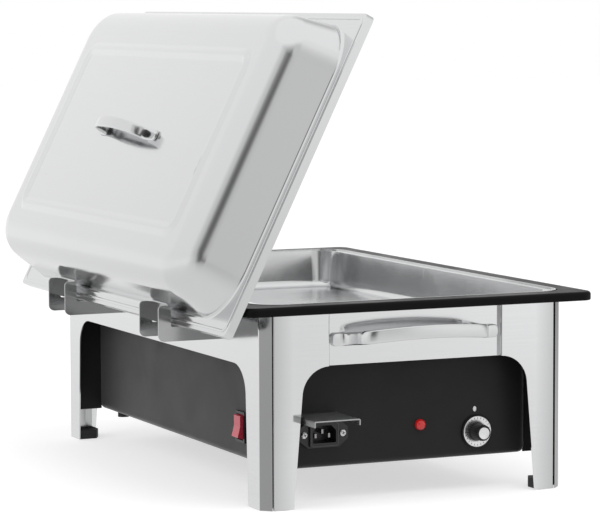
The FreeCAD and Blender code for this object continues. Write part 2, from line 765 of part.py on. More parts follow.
def carry_handle(name, end):
    """A rounded strap swept out from one tab, along the bowed grip and back to the other tab."""
    s = Sheet
    near = end * (s.frame_length / 2 - s.panel_recess + s.grip_strap / 2)
    far = end * (s.grip_reach - s.grip_strap)
    body = new_body(name)
    path = new_sketch(body, "XY", s.grip_level)
    path.AttachmentOffset = Placement(Vector(), Rotation(Vector(end, 0, 0), s.grip_tilt.number))
    bind(path, "AttachmentOffset.Rotation.Angle", s.grip_tilt)
    bind(path, "AttachmentOffset.Base.y", near)
    bind(path, "AttachmentOffset.Base.z", s.grip_level)
    draw(path, [
        (-s.grip_end, 0),
        (-s.grip_foot, 0, s.grip_foot_round),
        (-s.grip_half, far, s.grip_round),
        (0, far + end * s.grip_bow, s.grip_sweep),
        (s.grip_half, far, s.grip_round),
        (s.grip_foot, 0, s.grip_foot_round),
        (s.grip_end, 0),
    ], closed=False)
    profile = new_sketch(body, "YZ", -s.grip_end)
    draw(profile, rectangle(s.grip_strap / 2, s.grip_height / 2, s.grip_strap * 0.45, near, s.grip_level))
    doc.recompute()
    pipe(body, profile, path)
    return body


# Rim, well and pan

def rim():
    """The black rim: an opening for the pan, a ledge for its flange, a rebate for the well's flange."""
    s = Sheet
    well_flange_half = s.well_width / 2 + s.well_flange
    well_flange_long = s.well_length / 2 + s.well_flange
    body = new_body("rim")
    outer = new_sketch(body, "XY", s.frame_top)
    draw(outer, rectangle(s.rim_width / 2, s.rim_length / 2, s.rim_round))
    pad(body, outer, s.rim_top - s.frame_top)
    opening = new_sketch(body, "XY", s.rim_top)
    draw(opening, rectangle(s.well_width / 2, s.well_length / 2, s.well_round))
    pocket(body, opening)
    ledge = new_sketch(body, "XY", s.rim_top)
    flange_round = s.pan_round + s.pan_flange / 2
    draw(ledge, rectangle(s.pan_width / 2 + s.pan_play, s.pan_length / 2 + s.pan_play, flange_round))
    pocket(body, ledge, s.ledge_drop)
    rebate = new_sketch(body, "XY", s.frame_top)
    draw(rebate, rectangle(well_flange_half, well_flange_long, s.well_round + s.well_flange))
    pocket(body, rebate, s.well_sheet, reverse=True)
    top_outer = outline_edges(s.rim_top, s.rim_width / 2, s.rim_length / 2)
    fillet(body, s.rim_edge, top_outer)
    bottom_outer = outline_edges(s.frame_top, s.rim_width / 2, s.rim_length / 2)
    fillet(body, s.rim_bead, bottom_outer)
    return body


def outline_edges(level, half_x, half_y):
    """Test for the edges of the outermost loop at one height."""
    flat = at_height(level)
    reach_x = as_size(half_x).number
    reach_y = as_size(half_y).number

    def test(edge):
        limits = edge.BoundBox
        wide = max(abs(limits.XMin), abs(limits.XMax)) > reach_x - 1e-3
        long = max(abs(limits.YMin), abs(limits.YMax)) > reach_y - 1e-3
        return flat(edge) and (wide or long)
    return test


def water_well():
    """A pressed tray for the water, hung by its flange on the top edges of the frame."""
    s = Sheet
    top = s.frame_top + s.well_sheet
    floor = s.frame_top - s.well_depth - s.well_sheet
    half_x = s.well_width / 2 + s.well_sheet
    half_y = s.well_length / 2 + s.well_sheet
    body = new_body("water_well")
    block = new_sketch(body, "XY", floor)
    draw(block, rectangle(half_x, half_y, s.well_round + s.well_sheet))
    pad(body, block, top - floor)
    fillet(body, s.well_base_round + s.well_sheet, at_height(floor))
    shell(body, s.well_sheet, at_height(top))
    flange = new_sketch(body, "XY", s.frame_top)
    edge_x = s.well_width / 2 + s.well_flange - s.fit_gap
    edge_y = s.well_length / 2 + s.well_flange - s.fit_gap
    draw(flange, rectangle(edge_x, edge_y, s.well_round + s.well_flange - s.fit_gap))
    draw(flange, rectangle(half_x - s.well_sheet / 2, half_y - s.well_sheet / 2, s.well_round + s.well_sheet / 2))
    pad(body, flange, s.well_sheet)
    return body


def bowl(name, top, base, half_x, half_y, corner, base_round):
    """A solid with the form of the pan's bowl: drafted walls and a rounded base."""
    inset = (top - base) * tangent(Sheet.pan_draft)
    body = plain_body(name)
    mouth = new_sketch(body, "XY", top)
    draw(mouth, rectangle(half_x, half_y, corner))
    bottom = new_sketch(body, "XY", base)
    draw(bottom, rectangle(half_x - inset, half_y - inset, corner - inset))
    loft(body, mouth, bottom)
    fillet(body, base_round, at_height(base))
    return body


def food_pan():
    """A standard serving pan: drafted walls, a flange that rests on the rim and a raised hem."""
    s = Sheet
    ledge = s.rim_top - s.ledge_drop
    top = ledge + s.pan_sheet
    base = top - s.pan_depth
    wall = s.pan_sheet
    half_x = s.pan_width / 2 - s.pan_flange
    half_y = s.pan_length / 2 - s.pan_flange
    outside = bowl("pan_outside", top, base, half_x, half_y, s.pan_round, s.pan_base_round)
    inside = bowl("pan_inside", top, base + wall, half_x - wall, half_y - wall, s.pan_round - wall,
                  s.pan_base_round - wall)
    flange_round = s.pan_round + s.pan_flange / 2
    rim_body = plain_body("pan_rim")
    flange = new_sketch(rim_body, "XY", ledge)
    draw(flange, rectangle(s.pan_width / 2, s.pan_length / 2, flange_round))
    inner = wall / 2
    draw(flange, rectangle(half_x - inner, half_y - inner, s.pan_round - inner))
    pad(rim_body, flange, wall)
    hem = new_sketch(rim_body, "XY", ledge + wall / 2)
    draw(hem, rectangle(s.pan_width / 2, s.pan_length / 2, flange_round))
    draw(hem, rectangle(s.pan_width / 2 - s.pan_hem, s.pan_length / 2 - s.pan_hem, flange_round - s.pan_hem))
    pad(rim_body, hem, wall / 2 + s.pan_hem_rise)
    keep(join("pan_solid", [cut("pan_bowl", outside, inside), rim_body]), "food_pan")


# Housing and what it holds

def well_underside():
    s = Sheet
    return s.frame_top - s.well_depth - s.well_sheet


def housing():
    """The black box under the well, open at the top, with a flange out to the frame sheets."""
    s = Sheet
    top = well_underside()
    half_x = s.housing_width / 2
    half_y = s.housing_length / 2
    body = new_body("housing")
    block = new_sketch(body, "XY", s.housing_floor)
    draw(block, rectangle(half_x, half_y, s.housing_round))
    pad(body, block, top - s.housing_floor)
    fillet(body, s.housing_base_round, at_height(s.housing_floor))
    shell(body, s.housing_wall, at_height(top))
    flange = new_sketch(body, "XY", top - s.housing_wall)
    reach_x = s.frame_width / 2 - s.sheet
    reach_y = s.frame_length / 2 - s.panel_recess - s.sheet
    corner = s.post_cut + s.post_side_arm + s.sheet + s.fit_gap - s.panel_recess
    draw(flange, [
        (-reach_x, corner - reach_y),
        (corner - reach_x, -reach_y),
        (reach_x - corner, -reach_y),
        (reach_x, corner - reach_y),
        (reach_x, reach_y - corner),
        (reach_x - corner, reach_y),
        (corner - reach_x, reach_y),
        (-reach_x, reach_y - corner),
    ])
    inset = s.housing_wall / 2
    draw(flange, rectangle(half_x - inset, half_y - inset, s.housing_round - inset))
    pad(body, flange, s.housing_wall)
    wings = new_sketch(body, "XY", s.housing_floor)
    wing_half = (s.housing_side_gap - s.sheet - s.fit_gap + s.housing_wall / 2) / 2
    wing_x = half_x - s.housing_wall / 2 + wing_half
    for across in (-1, 1):
        for along in (-1, 1):
            wing_y = half_y - s.wing_inset - s.housing_wall / 2
            draw(wings, rectangle(wing_half, s.housing_wall / 2, 0, across * wing_x, along * wing_y))
    pad(body, wings, top - s.housing_floor)
    front = new_sketch(body, "XZ", half_y - s.housing_wall * 2)
    border = s.socket_wall + s.panel_play
    draw(front, rectangle(s.socket_wide / 2 + border, s.socket_high / 2 + border, 0, s.inlet_x, s.inlet_z))
    for way in (-1, 1):
        draw_circle(front, s.inlet_x + way * s.inlet_pitch / 2, s.inlet_z, s.screw_radius + s.shaft_play)
    draw_circle(front, s.lamp_x, s.lamp_z, s.lamp_bore + s.shaft_play)
    draw_circle(front, s.dial_x, s.dial_z, s.bush_radius + s.shaft_play)
    pocket(body, front, reverse=True)
    side = new_sketch(body, "YZ", s.housing_wall * 2 - half_x)
    window_y = s.bezel_wide / 2 - s.bezel_thick / 2
    window_z = s.bezel_high / 2 - s.bezel_thick / 2
    draw(side, rectangle(window_y, window_z, 0, s.switch_y, s.switch_z))
    pocket(body, side)
    fixings = new_sketch(body, "XY", top)
    for across in (-1, 1):
        for along in (-1, 1):
            draw_circle(fixings, across * fixing_x(), along * s.fixing_y, s.screw_radius + s.shaft_play)
    pocket(body, fixings, s.housing_wall * 2)
    return body


def fixing_x():
    """Where the housing's screws sit: midway along its flange."""
    s = Sheet
    return (s.housing_width + s.well_width) / 4


def mains_inlet():
    """A three-pin inlet: an eared flange on the panel, a shroud, and a socket with bevelled corners."""
    s = Sheet
    panel = s.housing_length / 2
    body = new_body("mains_inlet")
    flange = new_sketch(body, "XZ", panel)
    ear_x = s.inlet_pitch / 2 + s.inlet_ear
    high = s.inlet_high / 2 + s.inlet_border
    shoulder = s.inlet_wide / 2 + s.inlet_border
    small = s.inlet_border
    large = s.inlet_round
    draw(flange, [
        (s.inlet_x - shoulder, s.inlet_z - high, small),
        (s.inlet_x + shoulder, s.inlet_z - high, small),
        (s.inlet_x + ear_x, s.inlet_z - s.inlet_ear, large),
        (s.inlet_x + ear_x, s.inlet_z + s.inlet_ear, large),
        (s.inlet_x + shoulder, s.inlet_z + high, small),
        (s.inlet_x - shoulder, s.inlet_z + high, small),
        (s.inlet_x - ear_x, s.inlet_z + s.inlet_ear, large),
        (s.inlet_x - ear_x, s.inlet_z - s.inlet_ear, large),
    ])
    pad(body, flange, s.inlet_lip)
    shroud = new_sketch(body, "XZ", panel)
    draw(shroud, rectangle(s.inlet_wide / 2, s.inlet_high / 2, large, s.inlet_x, s.inlet_z))
    pad(body, shroud, s.inlet_out)
    back = new_sketch(body, "XZ", panel + s.inlet_lip / 2)
    wall = s.socket_wall
    draw(back, rectangle(s.socket_wide / 2 + wall, s.socket_high / 2 + wall, large, s.inlet_x, s.inlet_z))
    pad(body, back, s.socket_deep + s.inlet_lip, reverse=True)
    socket = new_sketch(body, "XZ", panel + s.inlet_out)
    half_x = s.socket_wide / 2
    half_z = s.socket_high / 2
    draw(socket, [
        (s.inlet_x - half_x, s.inlet_z - half_z, small),
        (s.inlet_x + half_x, s.inlet_z - half_z, small),
        (s.inlet_x + half_x, s.inlet_z + half_z - s.socket_cut),
        (s.inlet_x + half_x - s.socket_cut, s.inlet_z + half_z),
        (s.inlet_x - half_x + s.socket_cut, s.inlet_z + half_z),
        (s.inlet_x - half_x, s.inlet_z + half_z - s.socket_cut),
    ])
    pocket(body, socket, s.socket_deep)
    holes = new_sketch(body, "XZ", panel + s.inlet_lip)
    for way in (-1, 1):
        draw_circle(holes, s.inlet_x + way * s.inlet_pitch / 2, s.inlet_z, s.screw_radius + s.shaft_play)
    pocket(body, holes, s.inlet_lip * 2)
    return body


def inlet_fittings():
    """The inlet's pins, standing on the back wall of the socket, and its two screws."""
    s = Sheet
    panel = -(s.housing_length / 2)
    root = panel - s.inlet_out + s.socket_deep
    pins = []
    half_x = s.pin_wide / 2
    half_z = s.pin_high / 2
    for name, way, rise in (("live", -1, -1), ("earth", 0, 1), ("neutral", 1, -1)):
        across = s.inlet_x + way * s.pin_pitch
        up = s.inlet_z + rise * s.pin_stagger
        low = (across - half_x, root - s.pin_length, up - half_z)
        high = (across + half_x, root, up + half_z)
        pins.append(box("pin_" + name, low, high))
    group("inlet_pins", pins)
    screws = []
    for way in (-1, 1):
        seat = [s.inlet_x + way * s.inlet_pitch / 2, panel - s.inlet_lip, s.inlet_z]
        screws.append(screw("inlet_screw", "y", seat, -1, s.inlet_lip + s.housing_wall + s.screw_tail))
    group("inlet_screws", screws)


def inlet_hood():
    """A folded sheet roof over the inlet: a top, two side folds and a back fold on the panel."""
    s = Sheet
    panel = s.housing_length / 2
    body = new_body("inlet_hood")
    profile = new_sketch(body, "XZ", panel)
    draw(profile, [
        (s.hood_left, s.hood_top - s.hood_side),
        (s.hood_left, s.hood_top, s.bend),
        (s.hood_right, s.hood_top, s.bend),
        (s.hood_right, s.hood_top - s.hood_side),
        (s.hood_right - s.sheet, s.hood_top - s.hood_side),
        (s.hood_right - s.sheet, s.hood_top - s.sheet),
        (s.hood_left + s.sheet, s.hood_top - s.sheet),
        (s.hood_left + s.sheet, s.hood_top - s.hood_side),
    ])
    pad(body, profile, s.hood_reach)
    return body


def pilot_lamp():
    """The lamp's domed lens outside the panel and its body behind it."""
    s = Sheet
    panel = -(s.housing_length / 2)
    lens = new_body("lamp_lens")
    profile = new_sketch(lens, "XY", s.lamp_z)
    draw(profile, [
        (s.lamp_x, panel),
        (s.lamp_x + s.lamp_radius, panel),
        (s.lamp_x + s.lamp_radius, panel - s.lamp_out, s.lamp_dome),
        (s.lamp_x, panel - s.lamp_out),
    ])
    revolve(lens, profile, s.lamp_z, [(s.lamp_x, panel - s.lamp_out), (s.lamp_x, panel)])
    keep(rod("lamp_stem", "y", (s.lamp_x, panel, s.lamp_z), s.lamp_bore, s.lamp_deep), "lamp_body")


def thermostat():
    """The thermostat: a body behind the panel with a bush, a bulb under the well and a thin tube."""
    s = Sheet
    panel = -(s.housing_length / 2)
    inside = panel + s.housing_wall
    back = inside + s.thermo_deep
    half = s.thermo_half
    block = box("thermostat_block", (s.dial_x - half, inside, s.dial_z - half),
                (s.dial_x + half, back, s.dial_z + half))
    bush = rod("thermostat_bush", "y", (s.dial_x, panel, s.dial_z), s.bush_radius, s.bush_length)
    bore = rod("thermostat_bore", "y", (s.dial_x, panel, s.dial_z), s.shaft_radius + s.shaft_play, s.bore_deep)
    keep(cut("thermostat_cut", join("thermostat_solid", [block, bush]), bore), "thermostat_body")
    line = well_underside() - s.bulb_radius - s.shaft_play
    bulb_start = s.shield_front + s.bulb_front
    bulb = rod("bulb", "y", (s.sensor_x, bulb_start, line), s.bulb_radius, s.bulb_length)
    keep(bulb, "sensor_bulb")
    body = new_body("sensor_tube")
    path = new_sketch(body, "YZ", s.sensor_x)
    bend_y = s.shield_front - s.tube_bend
    entry = s.dial_z + s.tube_above
    draw(path, [
        (bulb_start, line),
        (bend_y, line, s.tube_bend),
        (bend_y - s.tube_bend, entry, s.tube_bend),
        (back, entry),
    ], closed=False)
    profile = new_sketch(body, "XZ", -bulb_start)
    draw_circle(profile, s.sensor_x, line, s.tube_radius)
    doc.recompute()
    pipe(body, profile, path)


def knob():
    """The thermostat's knob: skirt and body, a bright disc, a bright cap and the shaft it turns."""
    s = Sheet
    panel = -(s.housing_length / 2)
    skirt_face = panel - s.panel_play - s.skirt_thick
    disc_face = skirt_face - s.disc_thick
    knob_face = skirt_face - s.knob_reach
    shaft_start = knob_face + s.knob_solid
    body = new_body("thermostat_knob")
    profile = new_sketch(body, "XY", s.dial_z)
    bore = s.shaft_radius
    draw(profile, [
        (s.dial_x + bore, panel - s.panel_play),
        (s.dial_x + s.skirt_radius, panel - s.panel_play),
        (s.dial_x + s.skirt_radius, skirt_face, s.skirt_thick / 2),
        (s.dial_x + s.knob_radius, skirt_face),
        (s.dial_x + s.knob_tip, knob_face, s.knob_edge),
        (s.dial_x, knob_face),
        (s.dial_x, shaft_start),
        (s.dial_x + bore, shaft_start),
    ])
    revolve(body, profile, s.dial_z, [(s.dial_x, knob_face), (s.dial_x, panel)])
    disc = rod("disc_round", "y", (s.dial_x, disc_face, s.dial_z), s.dial_radius, s.disc_thick)
    hole = rod("disc_hole", "y", (s.dial_x, disc_face, s.dial_z), s.knob_radius + s.shaft_play, s.disc_thick)
    keep(cut("disc_cut", disc, hole), "dial_disc")
    keep(rod("cap_round", "y", (s.dial_x, knob_face - s.cap_thick, s.dial_z), s.cap_radius, s.cap_thick),
         "knob_cap")
    shaft_length = panel + s.shaft_inside - shaft_start
    keep(rod("shaft_round", "y", (s.dial_x, shaft_start, s.dial_z), s.shaft_radius, shaft_length),
         "thermostat_shaft")


def rocker_switch():
    """The switch in the side wall: a bezel and case, and a rocker on a pivot pin."""
    s = Sheet
    wall = s.housing_width / 2
    case = new_body("switch_case")
    front = new_sketch(case, "YZ", -wall)
    draw(front, rectangle(s.bezel_wide / 2, s.bezel_high / 2, s.inlet_border, s.switch_y, s.switch_z))
    pad(case, front, s.bezel_thick, reverse=True)
    inner_y = s.bezel_wide / 2 - s.bezel_thick / 2 - s.fit_gap
    inner_z = s.bezel_high / 2 - s.bezel_thick / 2 - s.fit_gap
    behind = new_sketch(case, "YZ", -wall - s.bezel_thick / 2)
    draw(behind, rectangle(inner_y, inner_z, 0, s.switch_y, s.switch_z))
    pad(case, behind, s.switch_deep + s.bezel_thick / 2)
    hole = new_sketch(case, "YZ", -wall - s.bezel_thick)
    half_y = s.rocker_wide / 2 + s.rocker_play
    half_z = s.rocker_radius + s.rocker_play
    draw(hole, rectangle(half_y, half_z, 0, s.switch_y, s.switch_z))
    pocket(case, hole, s.bezel_thick + s.rocker_well, reverse=True)
    rocker(s.pivot_inset - wall)
    pin = rod("pivot", "y", (s.pivot_inset - wall, s.switch_y - half_y, s.switch_z), s.pivot_radius, half_y * 2)
    keep(pin, "rocker_pin")


def rocker(pivot_x):
    """The rocker: two faces that lean back from the middle, a round back and a bore for its pin."""
    s = Sheet
    swing = s.rocker_radius
    body = new_body("rocker")
    profile = new_sketch(body, "XZ", s.rocker_wide / 2)
    tip_z = swing * 0.86
    tip_x = -s.rocker_face - tip_z * tangent(s.rocker_tilt)
    shoulder_x = -s.rocker_face * 0.4
    shoulder_z = swing * 0.97
    back_x = swing * 0.2
    back_z = swing * 0.5
    draw(profile, [
        (-s.rocker_face, 0),
        (tip_x, tip_z, s.rocker_edge),
        (shoulder_x, shoulder_z),
        (back_x, back_z),
        (back_x + s.rocker_edge * 2, 0),
        (back_x, -back_z),
        (shoulder_x, -shoulder_z),
        (tip_x, -tip_z, s.rocker_edge),
    ])
    pad(body, profile, s.rocker_wide, reverse=True)
    bore = new_sketch(body, "XZ", s.rocker_wide)
    draw_circle(bore, 0, 0, s.pivot_radius + s.shaft_play)
    pocket(body, bore)
    body.Placement = Placement(Vector(), Rotation(Vector(0, 1, 0), s.rocker_tilt.number))
    bind(body, "Placement.Rotation.Angle", s.rocker_tilt)
    bind(body, "Placement.Base.x", pivot_x)
    bind(body, "Placement.Base.y", s.switch_y)
    bind(body, "Placement.Base.z", s.switch_z)


def heater():
    """The heating tube that runs to and fro under the well, with its ends, its straps and cut-out."""
    s = Sheet
    top = well_underside()
    level = top - s.element_radius - s.shaft_play
    run = s.element_run
    turn = run * 0.99
    back = s.element_back + run
    front = s.element_front - run
    body = new_body("heating_element")
    path = new_sketch(body, "XY", level)
    draw(path, [
        (-run * 3, s.element_end),
        (-run * 3, back, turn),
        (-run, back, turn),
        (-run, front, turn),
        (run, front, turn),
        (run, back, turn),
        (run * 3, back, turn),
        (run * 3, s.element_end),
    ], closed=False)
    profile = new_sketch(body, "XZ", -s.element_end)
    draw_circle(profile, -run * 3, level, s.element_radius)
    doc.recompute()
    pipe(body, profile, path)
    ends = []
    half = s.blade_half
    for way in (-1, 1):
        across = way * run * 3
        bead_y = s.element_end - s.terminal_length
        bead = rod("bead", "y", (across, bead_y, level), s.element_radius, s.terminal_length)
        blade = box("blade", (across - half, bead_y - s.terminal_length, level - s.blade_thick / 2),
                    (across + half, bead_y, level + s.blade_thick / 2))
        ends.append(join("element_end", [bead, blade]))
    group("element_terminals", ends)
    straps = []
    low = level - s.element_radius - s.shaft_play
    inner = run * 3 + s.element_radius + s.strap_sheet
    middle = (s.element_front + s.element_back) / 2
    pitch = (s.element_back - s.element_front) / 2 - s.strap_half * 3
    for place in (-1, 0, 1):
        start = middle + place * pitch - s.strap_half
        end = start + s.strap_half * 2
        outer = box("strap_outer", (-inner - s.strap_sheet, start, low - s.strap_sheet),
                    (inner + s.strap_sheet, end, top))
        gap = box("strap_gap", (-inner, start, low), (inner, end, top))
        straps.append(cut("strap", outer, gap))
    group("element_straps", straps)
    cutout_seat = (0, s.shield_front - s.cutout_ahead, top - s.cutout_high)
    keep(rod("cutout", "z", cutout_seat, s.cutout_radius, s.cutout_high), "overheat_cutout")


def heat_shield():
    """The tray-shaped shield below the heating tube, slotted where the tubes pass its front wall."""
    s = Sheet
    top = well_underside()
    body = new_body("heat_shield")
    block = new_sketch(body, "XY", top)
    middle_y = (s.shield_front + s.shield_back) / 2
    half_y = (s.shield_back - s.shield_front) / 2
    draw(block, rectangle(s.shield_half, half_y, s.shield_round, 0, middle_y))
    pad(body, block, s.shield_depth, reverse=True)
    shell(body, s.shield_sheet, at_height(top))
    slots = new_sketch(body, "XZ", -(s.shield_front + s.shield_round))
    wide = s.element_radius + s.panel_play
    for across in (-s.element_run * 3, s.element_run * 3):
        draw(slots, rectangle(wide, wide + s.shield_sheet, 0, across, top - s.element_radius))
    narrow = s.tube_radius + s.panel_play
    draw(slots, rectangle(narrow, s.bulb_radius + narrow, 0, s.sensor_x, top - s.bulb_radius))
    pocket(body, slots, s.shield_round * 2, reverse=True)


def terminal_block():
    """The terminal block on the housing's floor, bored for five wires and their screws."""
    s = Sheet
    floor = s.housing_floor + s.housing_wall
    front = s.block_inset - s.housing_length / 2
    middle_z = floor + s.block_high / 2
    block = box("block_solid", (-s.block_half, front, floor),
                (s.block_half, front + s.block_deep, floor + s.block_high))
    holes = []
    for place in range(-2, 3):
        across = place * s.wire_pitch
        holes.append(rod("wire_hole", "y", (across, front, middle_z), s.wire_hole, s.block_deep))
        driver = (across, front + s.block_deep / 3, middle_z)
        holes.append(rod("driver_hole", "z", driver, s.driver_hole, s.block_high / 2))
    keep(cut("block_cut", block, join("block_holes", holes)), "terminal_block")


def housing_fittings():
    """Screws that hold the housing's flange up to the well, and the stud under its lower edge."""
    s = Sheet
    screws = []
    for side in (-1, 1):
        for end in (-1, 1):
            seat = [side * fixing_x(), end * s.fixing_y, well_underside() - s.housing_wall]
            screws.append(screw("housing_screw", "z", seat, -1, s.housing_wall))
    group("housing_screws", screws)
    seat = (s.stud_inset - s.housing_width / 2, s.stud_y, s.housing_floor - s.stud_high)
    keep(rod("stud", "z", seat, s.stud_radius, s.stud_high), "under_stud")


# Lid and holders

def place_on_lid(item):
    """Stand a piece drawn in the lid's own axes on the parked lid: U along the slope, W outward."""
    s = Sheet
    item.Placement = Placement(Vector(), Rotation(Vector(0, -1, 0), s.lid_lean.number))
    bind(item, "Placement.Rotation.Angle", s.lid_lean)
    seat = s.holder_bottom + s.holder_seat + s.fit_gap
    bind(item, "Placement.Base.x", s.holder_arm + s.lid_back_gap - s.frame_width / 2 - s.holder_reach)
    bind(item, "Placement.Base.z", seat + s.lid_skirt * cosine(s.lid_lean))


def lid_shell():
    """The pressed lid: a skirted flange, a drafted dome with a rounded top, and a raised bead."""
    s = Sheet
    middle = s.lid_width / 2
    body = new_body("lid_shell")
    flange = new_sketch(body, "XY")
    draw(flange, rectangle(middle, s.lid_length / 2, s.lid_corner, middle, 0))
    pad(body, flange, s.lid_skirt, reverse=True)
    half_u = middle - s.lid_strip
    half_v = s.lid_length / 2 - s.lid_strip
    dome = new_sketch(body, "XY")
    draw(dome, rectangle(half_u, half_v, s.dome_round, middle, 0))
    pad(body, dome, s.dome_height, draft=-s.dome_draft)
    fillet(body, s.dome_edge, at_height(s.dome_height))
    fillet(body, s.bend * 2, dome_foot_edges)
    shell(body, s.lid_sheet, at_height(-s.lid_skirt))
    bead = new_sketch(body, "XY", s.dome_height - s.lid_sheet / 2)
    bead_u = middle - s.bead_inset_u - s.lid_strip
    bead_v = s.lid_length / 2 - s.bead_inset_v - s.lid_strip
    draw(bead, rectangle(bead_u, bead_v, s.bead_round, middle, 0))
    draw(bead, rectangle(bead_u - s.bead_width, bead_v - s.bead_width, s.bead_round - s.bead_width, middle, 0))
    pad(body, bead, s.bead_rise + s.lid_sheet / 2)
    fillet(body, s.bead_rise * 0.8, at_height(s.dome_height + s.bead_rise))
    place_on_lid(body)
    return body


def dome_foot_edges(edge):
    """Test for the loop where the dome rises from the flange."""
    s = Sheet
    limits = edge.BoundBox
    inside = limits.XMin > s.lid_strip.number - 1 and limits.XMax < s.lid_width.number - s.lid_strip.number + 1
    return at_height(0)(edge) and inside


def lid_handle():
    """The lid's handle: a bowed strap on two spacers, held by screws from inside the dome."""
    s = Sheet
    foot = s.dome_height + s.spacer_height + s.pull_strap / 2
    body = new_body("lid_handle")
    path = new_sketch(body, "YZ", s.lid_width / 2)
    bend = s.pull_half - s.spacer_radius * 2
    draw(path, [
        (-s.pull_end, foot),
        (-bend, foot, s.pull_foot_round),
        (s.pull_arm - bend, foot + s.pull_rise, s.pull_round),
        (bend - s.pull_arm, foot + s.pull_rise, s.pull_round),
        (bend, foot, s.pull_foot_round),
        (s.pull_end, foot),
    ], closed=False)
    profile = new_sketch(body, "XZ", s.pull_end)
    draw(profile, rectangle(s.pull_width / 2, s.pull_strap / 2, s.pull_strap / 3, s.lid_width / 2, foot))
    doc.recompute()
    pipe(body, profile, path)
    place_on_lid(body)
    lid_handle_fixings()


def lid_handle_fixings():
    s = Sheet
    inside = s.dome_height - s.lid_sheet
    spacers = []
    screws = []
    for way in (-1, 1):
        across = way * s.pull_half
        middle = s.lid_width / 2
        spacers.append(rod("spacer", "z", (middle, across, s.dome_height), s.spacer_radius, s.spacer_height))
        screws.append(rod("pull_screw", "z", (middle, across, inside - s.head_height), s.head_radius, s.head_height))
    place_on_lid(group("handle_spacers", spacers))
    place_on_lid(group("handle_screws", screws))


def lid_holder(name, end):
    """A folded bracket on the side sheet: two hooked ears, an outer web and a screwed base plate."""
    s = Sheet
    wall = -(s.frame_width / 2)
    tip = wall - s.holder_reach
    inner = tip + s.holder_arm
    bottom = s.holder_bottom
    body = new_body(name)
    middle = end * s.holder_middle
    half = s.holder_width / 2
    web = new_sketch(body, "YZ", inner - s.holder_plate)
    web_middle = (bottom + s.holder_web + s.holder_top) / 2
    web_half = (s.holder_top - bottom - s.holder_web) / 2
    draw(web, rectangle(half, web_half, s.holder_corner, middle, web_middle))
    pad(body, web, s.holder_plate)
    for way in (-1, 1):
        outer_face = middle + way * half
        ear = new_sketch(body, "XZ", -outer_face)
        draw(ear, [
            (tip, bottom, s.holder_toe),
            (wall, bottom),
            (wall, bottom + s.holder_low),
            (inner + s.holder_ramp, bottom + s.holder_seat, s.holder_toe),
            (inner, bottom + s.holder_seat, s.holder_corner / 2),
            (inner, s.holder_top, s.holder_corner),
            (tip, s.holder_top, s.holder_corner),
        ])
        pad(body, ear, s.holder_plate, reverse=way < 0)
    base = new_sketch(body, "YZ", wall - s.holder_plate)
    draw(base, rectangle(half, s.holder_low / 2, 0, middle, bottom + s.holder_low / 2))
    pad(body, base, s.holder_plate)
    return body


def holder_screws():
    s = Sheet
    seat_x = -(s.frame_width / 2) - s.holder_plate
    screws = []
    for end in (-1, 1):
        for way in (-1, 1):
            place = [seat_x, end * s.holder_middle + way * s.holder_screw, s.holder_bottom + s.holder_low / 2]
            screws.append(rod("holder_head", "x", (place[0] - s.head_height, place[1], place[2]),
                              s.head_radius, s.head_height))
    group("holder_screws", screws)


def build():
    fill_sheet()
    derive_frame_sizes()
    derive_housing_sizes()
    for end_name, end in (("front", -1), ("rear", 1)):
        end_panel(end_name + "_end_panel", end)
        carry_handle(end_name + "_carry_handle", end)
        lid_holder(end_name + "_lid_holder", end)
        for side_name, side in (("left", -1), ("right", 1)):
            corner = end_name + "_" + side_name
            end_leg(corner + "_leg", side, end)
            corner_post(corner + "_post", side, end)
            foot_pad(corner + "_foot", side, end)
    side_frame("left_side_frame", -1)
    side_frame("right_side_frame", 1)
    rim()
    water_well()
    food_pan()
    housing()
    mains_inlet()
    inlet_fittings()
    inlet_hood()
    pilot_lamp()
    thermostat()
    knob()
    rocker_switch()
    heater()
    heat_shield()
    terminal_block()
    housing_fittings()
    holder_screws()
    lid_shell()
    lid_handle()
    doc.recompute()


def check():
    """Stop if any object failed or any node has no sound shape."""
    for item in doc.Objects:
        if "Invalid" in item.State or "Error" in item.State:
            raise RuntimeError(item.Label + ": " + ", ".join(item.State))
    for node in nodes:
        if node.Shape.isNull() or not node.Shape.isValid():
            raise RuntimeError(node.Label + ": no sound shape")


def write():
    os.makedirs("parts", exist_ok=True)
    for node in nodes:
        node.Shape.exportStep("parts/" + node.Label + ".step")
        limits = node.Shape.BoundBox
        print(node.Label, len(node.Shape.Solids), round(node.Shape.Volume, 1),
              [round(value, 1) for value in (limits.XMin, limits.XMax, limits.YMin, limits.YMax,
                                             limits.ZMin, limits.ZMax)])


build()
check()
write()
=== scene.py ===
"""Finishes the food warmer: steel, black housing, controls, their small details, light and camera."""

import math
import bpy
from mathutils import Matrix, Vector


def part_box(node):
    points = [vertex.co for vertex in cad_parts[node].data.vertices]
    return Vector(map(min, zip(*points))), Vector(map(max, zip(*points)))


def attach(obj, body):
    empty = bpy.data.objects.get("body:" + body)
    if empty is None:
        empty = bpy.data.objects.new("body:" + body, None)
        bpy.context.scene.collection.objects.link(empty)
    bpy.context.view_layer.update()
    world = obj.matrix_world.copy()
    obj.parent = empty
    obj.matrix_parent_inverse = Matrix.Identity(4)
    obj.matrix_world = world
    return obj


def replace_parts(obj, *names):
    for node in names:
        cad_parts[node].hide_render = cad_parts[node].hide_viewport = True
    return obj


bl_info = {
    "name": "Food Warmer Finish",
    "version": (1, 0, 0),
    "blender": (4, 5, 0),
    "location": "3D View > Sidebar > Food Warmer",
    "description": "Finishes, small details, light and camera for a food warmer with a lift-off lid",
    "category": "Object",
}

import bmesh
import bpy
from bpy.props import FloatProperty, FloatVectorProperty, PointerProperty
from mathutils import Matrix, Vector

